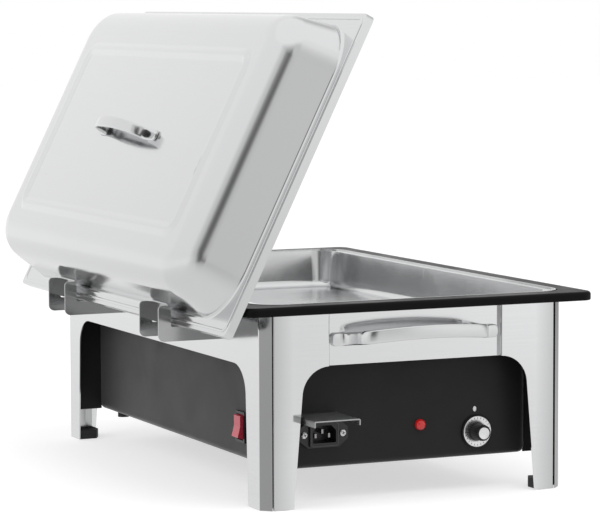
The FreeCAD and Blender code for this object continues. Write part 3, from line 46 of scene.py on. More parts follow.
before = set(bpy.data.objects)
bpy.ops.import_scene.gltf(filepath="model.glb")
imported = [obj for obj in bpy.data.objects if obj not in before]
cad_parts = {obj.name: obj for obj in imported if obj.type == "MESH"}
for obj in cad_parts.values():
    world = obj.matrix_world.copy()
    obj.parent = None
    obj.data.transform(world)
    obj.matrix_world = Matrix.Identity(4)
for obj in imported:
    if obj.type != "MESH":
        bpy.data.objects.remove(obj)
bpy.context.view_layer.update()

PREFIX = "food_warmer."
MM = 0.001
ENDS = ("front_", "rear_")
SIDES = ("left_", "right_")

# Half the height or width, and half the thickness, of the handles' straps, in millimetres
HANDLE_HIGH = 6.3
HANDLE_THICK = 2.3
PULL_WIDE = 5.8
PULL_THICK = 1.5
# A carry handle's line from its end to near its middle: in from the end, out of the wall, up
HANDLE_LINE = ((0, 0, 0), (2, 0, 0), (12, 0, 0), (18, 8, 1), (23, 24, 3), (33, 30, 4.6), (52, 33, 6),
               (72, 34.6, 7))
# The lid handle's line from its end to near its middle: along the lid, and out of it
PULL_LINE = ((78, 1.8), (74, 1.8), (66, 1.8), (55, 1.9), (50.5, 4), (48, 12.5), (42, 19.5), (29, 24.6),
             (12, 27))
# How far the middle of the lid handle's feet lies above the lid, and how far each stands from the lid's
# middle, in metres
PULL_DEEP = 2.5 * MM
FOOT_Y = 0.0552

# The lid's slope as it leans in its holders, and the ways out of its dome and up along it
LID_LEAN = math.radians(63.54)
LID_OUT = Vector((-math.sin(LID_LEAN), 0, math.cos(LID_LEAN)))
LID_UP = Vector((math.cos(LID_LEAN), 0, math.sin(LID_LEAN)))
# The lid in millimetres: half its width, its skirt, its dome's height, and its flange's line in from the edge
LID_HALF = 163.5
LID_SKIRT = 8
DOME_HIGH = 62
BEAD_INSET = 5
BEAD_ROUND = 7
# The ridge on the dome in millimetres: half sizes and corner radius of its loop, its height, and its section,
# a soft hump of this many steps either side over a narrower sunk foot
RIDGE_HALF = (90, 211.5)
RIDGE_ROUND = 14
RIDGE_HIGH = 2.6
RIDGE_STEPS = 8
RIDGE_STEP = 0.94
RIDGE_FOOT = (-0.4, 6)

# Screws: in metres, where the holders' screws stand along Y, and either side of that
HOLDER_Y = 0.13
FIXING = 0.015
# In millimetres: a screw's head, how far it stands in from the end of the inlet's pair, and its cross recess,
# as bars of painted shade
HEAD_HIGH = 1.9
HEAD_PROFILE = ((0.0, 3.4), (0.7, 3.4), (1.4, 2.9), (1.8, 1.9), (HEAD_HIGH, 0.8))
HEAD_INSET = 3.6
CROSS_LEVEL = 1.7
CROSS_BARS = ((1.7, 0.36, 0.23), (0.36, 1.7, 0.231))
CROSS_TURN = math.radians(20)

# The thermostat's knob in millimetres, as heights and radii from the panel outwards, with ribs cut into
# these points of its profile
KNOB_PROFILE = ((0.0, 16), (1.6, 16), (2, 15.6), (2, 8.4), (2.6, 8.4), (14, 7.9), (15.2, 7.6), (16, 6.9),
                (16.2, 6))
KNOB_RIBBED = (4, 5)
KNOB_RIBS = 24
RIB_DEPTH = 0.4
DISC_PROFILE = ((2.05, 8.45), (2.05, 14.9), (2.7, 14.9), (3, 14.5), (3, 9.2), (2.6, 8.45))
CAP_PROFILE = ((16.1, 5.8), (16.7, 5.8), (17.1, 5.4), (16.9, 4.9), (16.9, 1))
TICKS = 24
TICK_MIDDLE = (0, 13.1, 3.02)
TICK_REACH = (0.22, 0.9, 0.04)
# The mark over the knob: its place in metres, its profile in millimetres, and how much higher than wide it is
POINTER = (0.0762, -0.238, 0.0792)
POINTER_PROFILE = ((0, 1.75), (0.25, 1.75), (0.35, 1.6))
POINTER_HIGH = 1.5
# A foot of the lid handle, and the inlet's raised edge: half sizes, corner radius and how far it lies in
FOOT_PROFILE = ((0.02, 3.8), (5.4, 3.8), (6.6, 3.4), (7.3, 2.4), (7.5, 1))
INLET_EDGE = (14.2, 11.2, 3.2)
INLET_SUNK = 0.1
SMALL_STEPS = 40

# Colours of the small parts
SCREW = (0.7, 0.7, 0.71)
INLET_SCREW = (0.62, 0.62, 0.62)
NICKEL = (0.34, 0.33, 0.32)
ALUMINIUM = (0.8, 0.8, 0.8)
SHIELD = (0.78, 0.79, 0.8)
HEATED = (0.2, 0.2, 0.18)
COPPER = (0.7, 0.36, 0.22)
WHITE_CERAMIC = (0.72, 0.71, 0.66)
PRINTED_WHITE = (0.93, 0.93, 0.92)
RUBBER = (0.02, 0.02, 0.02)
# The screws' cross recesses, drawn as near-black bars: painted shade
RECESS_SHADE = (0.02, 0.02, 0.02)
MOULDED = (0.014, 0.014, 0.015)
# The inlet's raised edge, lighter than the rest of its moulding: painted highlight
MOULDED_EDGE_HIGHLIGHT = (0.05, 0.05, 0.05)
KNOB_BLACK = (0.006, 0.006, 0.006)
SPACER_BLACK = (0.012, 0.012, 0.012)

# How a metal's grain is stretched: along one axis, loosely along X, on folded brackets, or not at all
ALONG_X = (0.02, 1.0, 1.0)
ALONG_Y = (1.0, 0.02, 1.0)
ALONG_Z = (1.0, 1.0, 0.02)
LOOSE_X = (0.05, 1.0, 1.0)
BRACKET = (0.05, 1.0, 0.3)
EVEN = (1.0, 1.0, 1.0)
GRAIN_DEPTH = 0.0000015

# Tones against a metal's own: in its grain; and painted reflection, on the folded corner bands, on the outer
# strip of the end sheets, and at the far end of the lid's painted reflection gradient, which runs this way
# over it
GRAIN_TONE = 0.97
BAND_REFLECTION_TONE = 0.42
STRIP_REFLECTION_TONE = 0.74
REFLECTION_FADE_TONE = 0.86
LID_REFLECTION_FADE = (-0.45, -0.6, -0.9)

# Dimmer parts of the studio: heading in degrees, cosines where each starts and is darkest, and how dark
DIMMER = ((-116, 0.96, 0.998, 0.2), (-108, 0.7, 0.88, 0.72), (20, 0.7, 0.98, 0.38))
# The floor: half its size in metres, its grey, its glow to the camera and its brightness where metal mirrors
# it near the object, up to the first of two distances in metres, and from the second it mirrors as the studio
FLOOR_REACH = 12.0
FLOOR_GREY = (0.52, 0.52, 0.52, 1.0)
FLOOR_GLOW = 0.6
FLOOR_MIRRORED = 0.86
FLOOR_NEAR = 0.5
FLOOR_FAR = 2.5
WHITE = (1.0, 1.0, 1.0, 1.0)
SENSOR = 36.0


# Shader building

class Shading:
    """One node tree, with short calls to add nodes and join them."""

    def __init__(self, tree):
        self.tree = tree
        self.column = 0

    def node(self, kind, **settings):
        made = self.tree.nodes.new(kind)
        made.location = (-260 * self.column, 0)
        self.column += 1
        for name, value in settings.items():
            setattr(made, name, value)
        return made

    def link(self, source, target):
        self.tree.links.new(source, target)

    def set(self, node, **values):
        for name, value in values.items():
            node.inputs[name.replace("_", " ")].default_value = value
        return node

    def feed(self, socket, value):
        """Gives a socket its value: a link where the value is another socket."""
        if hasattr(value, "is_linked"):
            self.link(value, socket)
        else:
            socket.default_value = value

    def maths(self, operation, first, second=0.0):
        made = self.node("ShaderNodeMath", operation=operation)
        for socket, value in zip(made.inputs, (first, second)):
            self.feed(socket, value)
        return made.outputs[0]

    def vector(self, operation, first, second=None):
        made = self.node("ShaderNodeVectorMath", operation=operation)
        self.feed(made.inputs[0], first)
        if second is not None:
            self.feed(made.inputs[1], second)
        return made.outputs["Value" if operation in ("DOT_PRODUCT", "LENGTH") else "Vector"]

    def mix(self, share, first, second):
        made = self.node("ShaderNodeMix", data_type="FLOAT")
        for index, value in zip((0, 2, 3), (share, first, second)):
            self.feed(made.inputs[index], value)
        return made.outputs[0]

    def blend(self, share, first, second):
        made = self.node("ShaderNodeMix", data_type="RGBA")
        for index, value in zip((0, 6, 7), (share, first, second)):
            self.feed(made.inputs[index], value)
        return made.outputs[2]

    def span(self, value, low=0.0, high=1.0, start=0.0, end=1.0):
        """Carries the value over, so that it is low at start and high at end, and no further."""
        made = self.node("ShaderNodeMapRange")
        self.link(value, made.inputs[0])
        for index, number in enumerate((start, end, low, high), start=1):
            made.inputs[index].default_value = number
        return made.outputs[0]

    def axes(self, vector):
        """The vector's parts, by the names X, Y and Z."""
        made = self.node("ShaderNodeSeparateXYZ")
        self.link(vector, made.inputs[0])
        return made.outputs

    def noise(self, vector, **values):
        made = self.set(self.node("ShaderNodeTexNoise"), **values)
        self.link(vector, made.inputs["Vector"])
        return made

    def group(self, tree, **values):
        return self.set(self.node("ShaderNodeGroup", node_tree=tree), **values)

    def place(self):
        return self.node("ShaderNodeTexCoord").outputs["Object"]


def new_group(name, inputs, outputs):
    """A shader node group with named sockets: inputs (name, kind, default), outputs (name, kind)."""
    tree = bpy.data.node_groups.new(name, "ShaderNodeTree")
    for label, kind, default in inputs:
        socket = tree.interface.new_socket(label, in_out="INPUT", socket_type=kind)
        socket.default_value = default
    for label, kind in outputs:
        tree.interface.new_socket(label, in_out="OUTPUT", socket_type=kind)
    shading = Shading(tree)
    return shading, shading.node("NodeGroupInput"), shading.node("NodeGroupOutput")


def grain_group():
    """Drawn or brushed grain: long fine lines along one axis, as a mask and a height."""
    shading, given, put = new_group(
        "drawn_grain",
        [("Along", "NodeSocketVector", EVEN), ("Fineness", "NodeSocketFloat", 900.0)],
        [("Mask", "NodeSocketFloat"), ("Height", "NodeSocketFloat")],
    )
    stretched = shading.vector("MULTIPLY", shading.place(), given.outputs["Along"])
    lines = shading.noise(stretched, Detail=3.0, Roughness=0.6)
    shading.link(given.outputs["Fineness"], lines.inputs["Scale"])
    shading.link(shading.span(lines.outputs[0], start=0.3, end=0.7), put.inputs["Mask"])
    shading.link(lines.outputs[0], put.inputs["Height"])
    return shading.tree


def marks_group():
    """Handling marks: broad soft smudges and a few fine wipes, as a mask from 0 to 1."""
    shading, given, put = new_group(
        "handling_marks",
        [("Size", "NodeSocketFloat", 9.0), ("Wipes", "NodeSocketFloat", 0.5)],
        [("Mask", "NodeSocketFloat")],
    )
    place = shading.place()
    smudges = shading.noise(place, Detail=4.0, Roughness=0.55, Distortion=0.6)
    shading.link(given.outputs["Size"], smudges.inputs["Scale"])
    slanted = shading.set(shading.node("ShaderNodeMapping"), Rotation=(0.4, 0.9, 0.3),
                          Scale=(6.0, 60.0, 14.0))
    shading.link(place, slanted.inputs["Vector"])
    wipes = shading.noise(slanted.outputs[0], Scale=3.0, Detail=2.0)
    thin = shading.span(wipes.outputs[0], start=0.58, end=0.72)
    share = shading.maths("MULTIPLY", thin, given.outputs["Wipes"])
    soft = shading.span(smudges.outputs[0], start=0.35, end=0.72)
    shading.link(shading.maths("MAXIMUM", soft, share), put.inputs["Mask"])
    return shading.tree


def speckle_group():
    """Fine pebbled texture of sprayed paint or moulded plastic, as a mask and a height."""
    shading, given, put = new_group(
        "speckle",
        [("Fineness", "NodeSocketFloat", 1400.0)],
        [("Mask", "NodeSocketFloat"), ("Height", "NodeSocketFloat")],
    )
    place = shading.place()
    pebbles = shading.node("ShaderNodeTexVoronoi", feature="SMOOTH_F1")
    shading.link(place, pebbles.inputs["Vector"])
    shading.link(given.outputs["Fineness"], pebbles.inputs["Scale"])
    cloud = shading.noise(place, Scale=26.0, Detail=5.0, Roughness=0.6)
    shading.link(shading.span(cloud.outputs[0], start=0.35, end=0.7), put.inputs["Mask"])
    shading.link(pebbles.outputs["Distance"], put.inputs["Height"])
    return shading.tree


def fold_reflection_group():
    """Parts of a folded sheet that get painted reflection, as masks: where it turns at a slant, and the outer
    strip of its flat ends.
    """
    shading, _, put = new_group(
        "fold_reflection_masks", [], [("Slant", "NodeSocketFloat"), ("Strip", "NodeSocketFloat")])
    facing = shading.axes(shading.node("ShaderNodeTexCoord").outputs["Normal"])
    slant = shading.maths("ABSOLUTE", shading.maths("MULTIPLY", facing["X"], facing["Y"]))
    shading.link(shading.span(slant, start=0.36, end=0.46), put.inputs["Slant"])
    across = shading.axes(shading.place())["X"]
    outer = shading.span(shading.maths("ABSOLUTE", across), start=0.128, end=0.148)
    flat = shading.span(shading.maths("ABSOLUTE", facing["Y"]), start=0.8, end=0.95)
    shading.link(shading.maths("MULTIPLY", outer, flat), put.inputs["Strip"])
    return shading.tree


def reflection_fade_group():
    """A painted reflection gradient: a slow change along one way over a piece, as a mask from 0 to 1."""
    shading, given, put = new_group(
        "painted_reflection_fade", [("Along", "NodeSocketVector", EVEN)], [("Mask", "NodeSocketFloat")])
    slope = shading.vector("DOT_PRODUCT", shading.place(), given.outputs["Along"])
    shading.link(shading.span(slope, start=-0.5, end=0.05), put.inputs["Mask"])
    return shading.tree


def surround_group():
    """How bright the studio is along a direction, as surfaces mirror it: dimmer at the DIMMER headings, and
    white again overhead."""
    shading, given, put = new_group(
        "studio_surround",
        [("Direction", "NodeSocketVector", (0, 0, 0))],
        [("Brightness", "NodeSocketFloat")],
    )
    level = shading.vector("MULTIPLY", given.outputs["Direction"], (1.0, 1.0, 0.0))
    heading = shading.vector("NORMALIZE", level)
    bright = None
    for degrees, wide, narrow, darkest in DIMMER:
        angle = math.radians(degrees)
        near = shading.vector("DOT_PRODUCT", heading, (math.cos(angle), math.sin(angle), 0.0))
        gap = shading.span(near, low=1.0, high=darkest, start=wide, end=narrow)
        bright = gap if bright is None else shading.maths("MULTIPLY", bright, gap)
    rise = shading.axes(shading.vector("NORMALIZE", given.outputs["Direction"]))["Z"]
    above = shading.span(rise, start=0.3, end=0.75)
    wall = shading.span(rise, low=1.0, high=0.95, start=0.08, end=0.2)
    bright = shading.maths("MAXIMUM", shading.maths("MULTIPLY", bright, wall), above)
    shading.link(bright, put.inputs["Brightness"])
    return shading.tree


made_groups = {}


def effect(make):
    """A shader node group, made at its first use and then shared."""
    if make not in made_groups:
        made_groups[make] = make()
    return made_groups[make]


def new_material(name):
    """A material with its own Principled shader; gives the material, its shading and the shader."""
    material = bpy.data.materials.new(name)
    material.use_nodes = True
    material.node_tree.nodes.clear()
    shading = Shading(material.node_tree)
    output = shading.node("ShaderNodeOutputMaterial")
    shader = shading.node("ShaderNodeBsdfPrincipled")
    shading.link(shader.outputs[0], output.inputs["Surface"])
    return material, shading, shader


def bump(shading, shader, height, distance):
    """Raises the shader's surface by the height, to the distance in metres."""
    made = shading.set(shading.node("ShaderNodeBump"), Strength=1.0, Distance=distance)
    shading.link(height, made.inputs["Height"])
    shading.link(made.outputs[0], shader.inputs["Normal"])


def tone(colour, factor):
    """The colour made lighter or darker, with full alpha."""
    return tuple(min(1.0, channel * factor) for channel in colour[:3]) + (1.0,)


def steel(name, colour, rough, along, marks=9.0, drift=None, folded=False):
    """Bare metal: grain along its rolling or polishing direction and handling marks in its gloss, with
    painted reflection as darker bands where it is a folded sheet, and as a slow gradient of its tone along a
    way, if one is given."""
    material, shading, shader = new_material(name)
    shading.set(shader, Metallic=1.0)
    grain = shading.group(effect(grain_group), Along=along)
    smudge = shading.group(effect(marks_group), Size=marks)
    tint = shading.blend(grain.outputs["Mask"], tone(colour, GRAIN_TONE), tone(colour, 1.0))
    # Painted reflection: slanted corner bands and the end sheets' outer strip are darkened, standing for
    # darker parts of the studio mirrored there
    if folded:
        folds = shading.group(effect(fold_reflection_group))
        tint = shading.blend(folds.outputs["Slant"], tint, tone(colour, BAND_REFLECTION_TONE))
        tint = shading.blend(folds.outputs["Strip"], tint, tone(colour, STRIP_REFLECTION_TONE))
    # Painted reflection: the tone darkens slowly along the given way
    if drift is not None:
        slow = shading.group(effect(reflection_fade_group), Along=drift)
        tint = shading.blend(slow.outputs["Mask"], tint, tone(colour, REFLECTION_FADE_TONE))
    shading.link(tint, shader.inputs["Base Color"])
    shading.link(shading.span(smudge.outputs["Mask"], *rough), shader.inputs["Roughness"])
    bump(shading, shader, grain.outputs["Height"], GRAIN_DEPTH)
    return material


def coating(name, colour, rough, fineness, depth, coat=0.0, specular=0.5, sheen=0.0):
    """Paint, plastic or rubber: pebbled surface, colour and gloss that drift a little over it."""
    material, shading, shader = new_material(name)
    shading.set(shader, Coat_Weight=coat, Specular_IOR_Level=specular, Sheen_Weight=sheen,
                Sheen_Roughness=0.45)
    speckle = shading.group(effect(speckle_group), Fineness=fineness)
    smudge = shading.group(effect(marks_group), Size=14.0)
    tint = shading.blend(speckle.outputs["Mask"], tone(colour, 0.86), tone(colour, 1.1))
    shading.link(tint, shader.inputs["Base Color"])
    shading.link(shading.span(smudge.outputs["Mask"], *rough), shader.inputs["Roughness"])
    bump(shading, shader, speckle.outputs["Height"], depth)
    return material


def lens_red(name, colour):
    """The pilot lamp's smooth red moulding, under a clear glossy coat."""
    material, shading, shader = new_material(name)
    shading.set(shader, IOR=1.49, Coat_Weight=0.6, Roughness=0.08)
    speckle = shading.group(effect(speckle_group), Fineness=500.0)
    tint = shading.blend(speckle.outputs["Mask"], tone(colour, 0.75), tone(colour, 1.1))
    shading.link(tint, shader.inputs["Base Color"])
    return material


def paint(nodes, material):
    """Gives the frame's nodes the material, in place of what they had."""
    for name in nodes:
        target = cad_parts[name]
        target.data.materials.clear()
        target.data.materials.append(material)


# Pieces

def smoothed(points, rounds=4):
    """Cuts the corners of an open line again and again, which leaves a smooth curve with the same ends."""
    for _ in range(rounds):
        line = [points[0]]
        for first, second in zip(points, points[1:]):
            line += [first.lerp(second, 0.25), first.lerp(second, 0.75)]
        points = line + [points[-1]]
    return points


def rounded_section(half_wide, half_thick, power=4.0, count=28):
    """Points round a strap's cut end: a flat bar whose corners and edges are well rounded."""
    points = []
    for index in range(count):
        angle = 2 * math.pi * index / count
        wide, thick = math.cos(angle), math.sin(angle)
        points.append((half_wide * math.copysign(abs(wide) ** (2 / power), wide),
                       half_thick * math.copysign(abs(thick) ** (2 / power), thick)))
    return points


def sweep(line, section, side, end_round=0.0, closed=False):
    """Carries the section along the line with its width kept along side; its ends are rounded off."""
    mesh = bmesh.new()
    rings = []
    last = len(line) - 1
    half = max(wide for wide, _ in section)
    walked = [0.0]
    for first, second in zip(line, line[1:]):
        walked.append(walked[-1] + (second - first).length)
    for index, point in enumerate(line):
        if closed:
            ahead = line[(index + 1) % len(line)] - line[index - 1]
        else:
            ahead = line[min(index + 1, last)] - line[max(index - 1, 0)]
        out = ahead.cross(side).normalized()
        wide = out.cross(ahead).normalized()
        left = min(walked[index], walked[-1] - walked[index])
        share = 1.0
        if not closed and left < end_round:
            share = (half - end_round + math.sqrt(max(end_round ** 2 - (end_round - left) ** 2, 0.0))) / half
        rings.append([mesh.verts.new(point + wide * a * share + out * b) for a, b in section])
    count = len(section)
    for ring, following in zip(rings, rings[1:] + rings[:1] if closed else rings[1:]):
        for index in range(count):
            after = (index + 1) % count
            mesh.faces.new((ring[index], ring[after], following[after], following[index]))
    if not closed:
        mesh.faces.new(rings[0])
        mesh.faces.new(rings[-1][::-1])
    bmesh.ops.recalc_face_normals(mesh, faces=mesh.faces)
    return mesh


def turned(profile, steps=72, ribbed=(), ribs=0, depth=0.0):
    """A body of revolution round +Z, from a profile of heights and radii in millimetres, with ribs cut to the
    depth at the profile's ribbed points."""
    mesh = bmesh.new()
    rings = []
    for row, (height, radius) in enumerate(profile):
        ring = []
        for index in range(steps):
            angle = 2 * math.pi * index / steps
            reach = radius * MM
            if row in ribbed:
                reach -= depth * MM * (0.5 + 0.5 * math.cos(ribs * angle))
            ring.append(mesh.verts.new((reach * math.cos(angle), reach * math.sin(angle), height * MM)))
        rings.append(ring)
    for ring, following in zip(rings, rings[1:]):
        for index in range(steps):
            after = (index + 1) % steps
            mesh.faces.new((ring[index], ring[after], following[after], following[index]))
    mesh.faces.new(rings[0][::-1])
    mesh.faces.new(rings[-1])
    bmesh.ops.recalc_face_normals(mesh, faces=mesh.faces)
    return mesh


def bar(mesh, middle, reach):
    """Adds a rectangular bar to the mesh, from its middle and half sizes along X, Y and Z in millimetres."""
    middle = Matrix.Translation([value * MM for value in middle])
    size = Matrix.Diagonal([2 * value * MM for value in reach] + [1.0])
    bmesh.ops.create_cube(mesh, size=1.0, matrix=middle @ size)


def merge(mesh, other, placing):
    """Moves the other mesh by the placing and takes it into the mesh."""
    bmesh.ops.transform(other, matrix=placing, verts=other.verts)
    spare = bpy.data.meshes.new("spare")
    other.to_mesh(spare)
    other.free()
    mesh.from_mesh(spare)
    bpy.data.meshes.remove(spare)


def rounded_loop(half_wide, half_high, radius, steps=8):
    """Points round a rectangle with rounded corners, as pairs."""
    points = []
    for turn, (across, up) in enumerate(((1, 1), (-1, 1), (-1, -1), (1, -1))):
        for step in range(steps + 1):
            angle = (turn + step / steps) * math.pi / 2
            points.append((across * (half_wide - radius) + radius * math.cos(angle),
                           up * (half_high - radius) + radius * math.sin(angle)))
    return points


def on_lid(centre, points):
    """Turns pairs in millimetres, up along the lid and across it, into places round the centre."""
    return [centre + LID_UP * (u * MM) + Vector((0, v * MM, 0)) for u, v in points]


def add_screws(name, places, face, body, metal, node):
    """Domed screw heads at the places, in place of a node's plain heads, with their cross recesses as
    near-black bars of painted shade.
    """
    heads = bmesh.new()
    crosses = bmesh.new()
    for place in places:
        placing = Matrix.Translation(place) @ face
        merge(heads, turned(HEAD_PROFILE, steps=SMALL_STEPS), placing)
        cross = bmesh.new()
        for reach in CROSS_BARS:
            bar(cross, (0, 0, CROSS_LEVEL), reach)
        merge(crosses, cross, placing @ Matrix.Rotation(CROSS_TURN, 4, "Z"))
    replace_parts(add_piece(name, heads, metal, body), node)
    shade = coating(name + "_recess_shade", RECESS_SHADE, rough=(0.5, 0.6), fineness=900.0, depth=0.000002)
    add_piece(name + "_crosses", crosses, shade, body)


def add_piece(name, mesh, material, body, placing=None, sharp=35):
    """Puts a mesh in the scene as a piece that moves with a body, with its material and material slot."""
    if placing is not None:
        bmesh.ops.transform(mesh, matrix=placing, verts=mesh.verts)
    data = bpy.data.meshes.new(name)
    mesh.to_mesh(data)
    mesh.free()
    for polygon in data.polygons:
        polygon.use_smooth = True
    data.set_sharp_from_angle(angle=math.radians(sharp))
    data.materials.append(material)
    piece = bpy.data.objects.new(name, data)
    bpy.context.scene.collection.objects.link(piece)
    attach(piece, body)
    return piece


def out_of_panel(x, y, z):
    """Turns a piece made along +Z so that it stands out of the front panel, towards -Y, at this place."""
    return Matrix.Translation((x, y, z)) @ Matrix.Rotation(math.pi / 2, 4, "X")


def box_of(node):
    """The middle, low corner and high corner of a node of the frame."""
    low, high = (Vector(corner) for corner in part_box(node))
    return (low + high) / 2, low, high


# Settings

class FinishSettings(bpy.types.PropertyGroup):
    """Colours of the finishes."""

    sheet: FloatVectorProperty(name="Frame sheets", description="Colour of the polished frame sheets",
                               subtype="COLOR", default=(0.79, 0.795, 0.80))
    lid: FloatVectorProperty(name="Lid", description="Colour of the polished lid",
                             subtype="COLOR", default=(0.80, 0.805, 0.81))
    pan: FloatVectorProperty(name="Food pan", description="Colour of the food pan and the water well",
                             subtype="COLOR", default=(0.72, 0.725, 0.73))
    rim: FloatVectorProperty(name="Rim", description="Colour of the black rim",
                             subtype="COLOR", default=(0.004, 0.004, 0.0042))
    housing: FloatVectorProperty(name="Housing", description="Colour of the black housing",
                                 subtype="COLOR", default=(0.009, 0.009, 0.009))
    lamp: FloatVectorProperty(name="Pilot lamp", description="Colour of the pilot lamp",
                              subtype="COLOR", default=(0.72, 0.012, 0.012))
    rocker: FloatVectorProperty(name="Rocker", description="Colour of the rocker switch",
                                subtype="COLOR", default=(0.66, 0.045, 0.08))


class StageSettings(bpy.types.PropertyGroup):
    """Camera and light."""

    azimuth: FloatProperty(name="Azimuth", description="Camera's turn from looking straight along +Y",
                           subtype="ANGLE", default=math.radians(24.42))
    elevation: FloatProperty(name="Elevation", description="How steeply the camera looks down",
                             subtype="ANGLE", default=math.radians(5.18))
    roll: FloatProperty(name="Roll", description="Camera's roll about its line of sight",
                        subtype="ANGLE", default=math.radians(0.2))
    lens: FloatProperty(name="Lens", description="Focal length in millimetres", default=175.2)
    place: FloatVectorProperty(name="Camera", description="Where the camera stands", subtype="TRANSLATION",
                               unit="LENGTH", default=(-1.2337, -2.7160, 0.4768))
    fill: FloatProperty(name="Fill", description="Strength of the light from all round", default=0.75)
    key: FloatProperty(name="Key", description="Power of the large lamp over the object", unit="POWER",
                       default=22.0)


class PieceOperator:
    """What the piece operators have in common."""

    bl_options = {"REGISTER", "UNDO"}

    @property
    def finish(self):
        return bpy.context.scene.food_warmer_finish


def corners(piece):
    """The names of a piece's four copies, one at each corner."""
    return [end + side + piece for end in ENDS for side in SIDES]


class FOODWARMER_OT_frame_sheets(PieceOperator, bpy.types.Operator):
    """Polish the sheets of the frame and its posts"""

    bl_idname = PREFIX + "frame_sheets"
    bl_label = "Frame sheets"

    def execute(self, context):
        colour = self.finish.sheet
        # The folded sheets get painted reflection: darker slanted corner bands and darker outer strips on the
        # end sheets
        paint(["left_side_frame", "right_side_frame"],
              steel("side_sheet_steel", colour, rough=(0.10, 0.17), along=ALONG_Y, folded=True))
        paint([end + "end_panel" for end in ENDS] + corners("leg"),
              steel("end_sheet_steel", colour, rough=(0.09, 0.16), along=ALONG_X, folded=True))
        paint(corners("post"), steel("post_steel", tone(colour, 0.75), rough=(0.25, 0.4), along=ALONG_Z))
        return {"FINISHED"}


class FOODWARMER_OT_carry_handles(PieceOperator, bpy.types.Operator):
    """Bow the two carry handles out of their panels"""

    bl_idname = PREFIX + "carry_handles"
    bl_label = "Carry handles"

    def execute(self, context):
        metal = steel("handle_steel", tone(self.finish.sheet, 0.9), rough=(0.1, 0.18), along=ALONG_X)
        for end, name in ((-1, "front_carry_handle"), (1, "rear_carry_handle")):
            _, low, high = box_of(name)
            wall = min(abs(low.y), abs(high.y)) + HANDLE_THICK * MM
            level = low.z + HANDLE_HIGH * MM
            line = []
            for side in (-1, 1):
                points = [Vector((side * (high.x - inset * MM), end * (wall + out * MM), level + up * MM))
                          for inset, out, up in HANDLE_LINE]
                line += points if side < 0 else points[::-1]
            strap = sweep(smoothed(line), rounded_section(HANDLE_HIGH * MM, HANDLE_THICK * MM),
                          Vector((0, 0, 1)), end_round=3 * MM)
            handle = add_piece(name + "_strap", strap, metal, "base")
            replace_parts(handle, name)
        return {"FINISHED"}


class FOODWARMER_OT_well_and_pan(PieceOperator, bpy.types.Operator):
    """Finish the water well and the food pan"""

    bl_idname = PREFIX + "well_and_pan"
    bl_label = "Well and pan"

    def execute(self, context):
        colour = self.finish.pan
        paint(["food_pan"], steel("pan_steel", colour, rough=(0.16, 0.28), along=LOOSE_X))
        paint(["water_well"], steel("well_steel", tone(colour, 0.92), rough=(0.22, 0.36), along=LOOSE_X))
        return {"FINISHED"}


class FOODWARMER_OT_black_parts(PieceOperator, bpy.types.Operator):
    """Finish the rim, the housing and the feet"""

    bl_idname = PREFIX + "black_parts"
    bl_label = "Rim, housing and feet"

    def execute(self, context):
        paint(["rim"], coating("rim_black", self.finish.rim, rough=(0.34, 0.46), fineness=900.0,
                               depth=0.000004, specular=0.1))
        paint(["housing"], coating("housing_paint", self.finish.housing, rough=(0.42, 0.55), fineness=1300.0,
                                   depth=0.00002, specular=0.22, sheen=0.42))
        paint(corners("foot") + ["under_stud"],
              coating("foot_rubber", RUBBER, rough=(0.6, 0.8), fineness=900.0, depth=0.00002))
        return {"FINISHED"}


